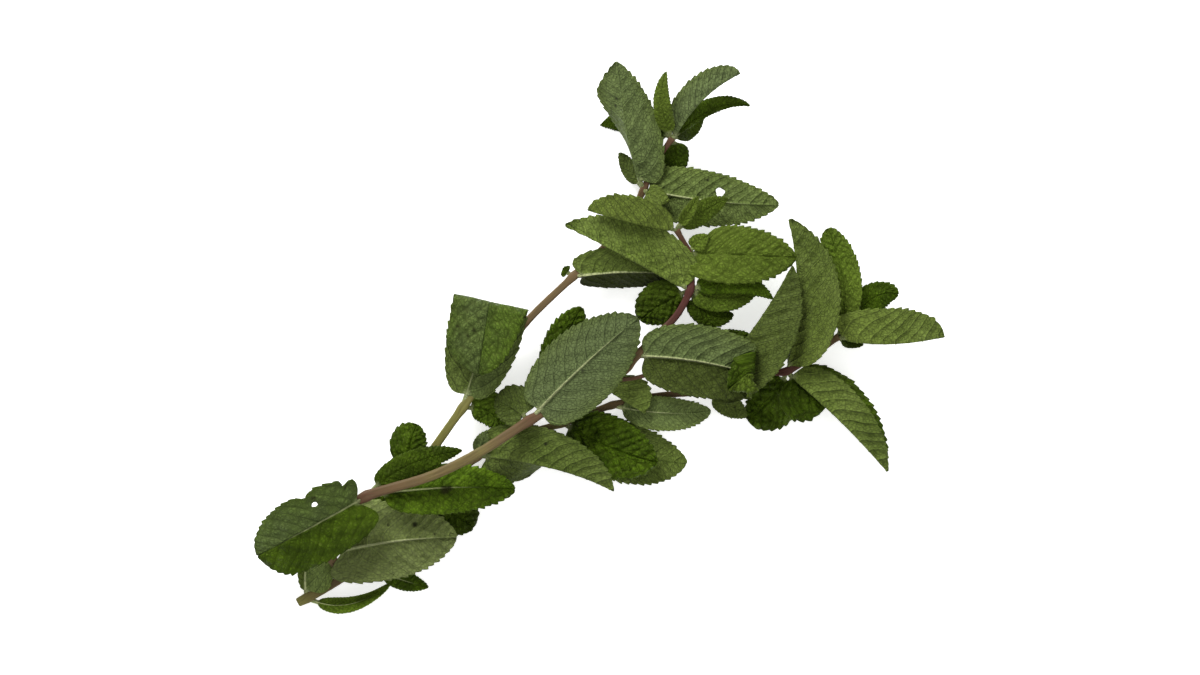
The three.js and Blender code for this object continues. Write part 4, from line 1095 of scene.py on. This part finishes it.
class MINT_OT_stage(bpy.types.Operator):
    """Lay the pale floor, set up the soft lights and put the camera straight above"""

    bl_idname = "mint.stage"
    bl_label = "Stage"

    def execute(self, context):
        look = context.scene.mint_stage
        self.floor(look)
        self.light("Key light", look.key_power, (-0.8, 1.5, 1.3), 1.0)
        self.light("Fill light", look.fill_power, (1.1, -0.9, 1.5), 1.6)
        world = bpy.data.worlds.new("Pale studio")
        world.use_nodes = True
        background = world.node_tree.nodes["Background"]
        background.inputs["Color"].default_value = (1, 1, 1, 1)
        background.inputs["Strength"].default_value = WORLD_STRENGTH
        context.scene.world = world
        context.scene.view_settings.view_transform = "Standard"
        self.camera(context, look)
        return {"FINISHED"}

    @staticmethod
    def floor(look):
        """A square of 4 m, a hair below the sprig."""
        corners = [(x, y, FLOOR_HEIGHT) for x, y in ((-2, -2), (2, -2), (2, 2), (-2, 2))]
        mesh = bpy.data.meshes.new("floor")
        mesh.from_pydata(corners, [], [(0, 1, 2, 3)])
        floor = bpy.data.objects.new("floor", mesh)
        bpy.context.scene.collection.objects.link(floor)
        paint = Finish("Pale floor")
        speckle = paint.noise(40)
        colour = paint.mix(speckle, tuple(look.floor), tuple(0.985 * c for c in look.floor))
        mesh.materials.append(paint.finish(
            colour, 0.75, speckle, 0.00001, Emission_Color=(1, 1, 1, 1), Emission_Strength=look.glow))

    @staticmethod
    def light(name, power, place, size):
        """A square area light that faces the sprig."""
        light = bpy.data.lights.new(name, "AREA")
        light.energy = power
        light.size = size
        lamp = bpy.data.objects.new(name, light)
        lamp.location = place
        lamp.rotation_euler = (-Vector(place)).to_track_quat("-Z", "Y").to_euler()
        bpy.context.scene.collection.objects.link(lamp)

    @staticmethod
    def camera(context, look):
        """A long lens straight above, so high that it sees view_width at the mid height."""
        camera = bpy.data.cameras.new("Camera")
        camera.lens = look.lens
        camera.sensor_width = 36
        camera.clip_end = 50
        eye = bpy.data.objects.new("Camera", camera)
        away = look.view_width * look.lens / camera.sensor_width
        eye.location = (*VIEW_MIDDLE, MID_HEIGHT + away)
        context.scene.collection.objects.link(eye)
        context.scene.camera = eye


class MINT_OT_stem(bpy.types.Operator):
    """Make the square stems, with their nodes and cut end"""

    bl_idname = "mint.stem"
    bl_label = "Stems"

    def execute(self, context):
        piece = make_stem()
        piece.data.polygons.foreach_set("use_smooth", np.ones(len(piece.data.polygons), bool))
        bark = material("Mint stem bark", stem_bark, context.scene.mint_stem_colours)
        piece.data.materials.append(bark)
        finish_piece(piece, "stem")
        return {"FINISHED"}


class MINT_OT_leaves_main(bpy.types.Operator):
    """Make the leaves of the main stem"""

    bl_idname = "mint.leaves_main"
    bl_label = "Leaves of the main stem"

    def execute(self, context):
        make_leaves(context, "m")
        return {"FINISHED"}


class MINT_OT_leaves_over(bpy.types.Operator):
    """Make the leaves of the branch that lies on top, and of its twig"""

    bl_idname = "mint.leaves_over"
    bl_label = "Leaves of the upper branch"

    def execute(self, context):
        make_leaves(context, "at")
        return {"FINISHED"}


class MINT_OT_leaves_back(bpy.types.Operator):
    """Make the leaves of the branch behind"""

    bl_idname = "mint.leaves_back"
    bl_label = "Leaves of the branch behind"

    def execute(self, context):
        make_leaves(context, "b")
        return {"FINISHED"}


class MINT_PT_panel(bpy.types.Panel):
    """Lists the steps that build the sprig"""

    bl_idname = "MINT_PT_panel"
    bl_label = "Spearmint sprig"
    bl_space_type = "VIEW_3D"
    bl_region_type = "UI"
    bl_category = "Mint"

    def draw(self, context):
        for operator in OPERATORS:
            self.layout.operator(operator.bl_idname)
        for settings in SETTINGS:
            group = getattr(context.scene, settings)
            for name in group.bl_rna.properties.keys():
                if name not in ("rna_type", "name"):
                    self.layout.prop(group, name)


OPERATORS = (MINT_OT_stage, MINT_OT_stem, MINT_OT_leaves_main, MINT_OT_leaves_over, MINT_OT_leaves_back)
SETTINGS = {
    "mint_leaf_sizes": LeafSizes,
    "mint_leaf_colours": LeafColours,
    "mint_stem_colours": StemColours,
    "mint_stage": StageLook,
}


def register():
    """Registers the settings, the operators and the panel."""
    for name, group in SETTINGS.items():
        bpy.utils.register_class(group)
        setattr(bpy.types.Scene, name, PointerProperty(type=group))
    for cls in (*OPERATORS, MINT_PT_panel):
        bpy.utils.register_class(cls)


def unregister():
    """Undoes register, last first."""
    for cls in reversed((*OPERATORS, MINT_PT_panel)):
        bpy.utils.unregister_class(cls)
    for name, group in reversed(SETTINGS.items()):
        delattr(bpy.types.Scene, name)
        bpy.utils.unregister_class(group)


def main():
    register()
    bpy.ops.mint.stage()
    bpy.ops.mint.stem()
    bpy.ops.mint.leaves_main()
    bpy.ops.mint.leaves_over()
    bpy.ops.mint.leaves_back()


if __name__ == "__main__":
    main()
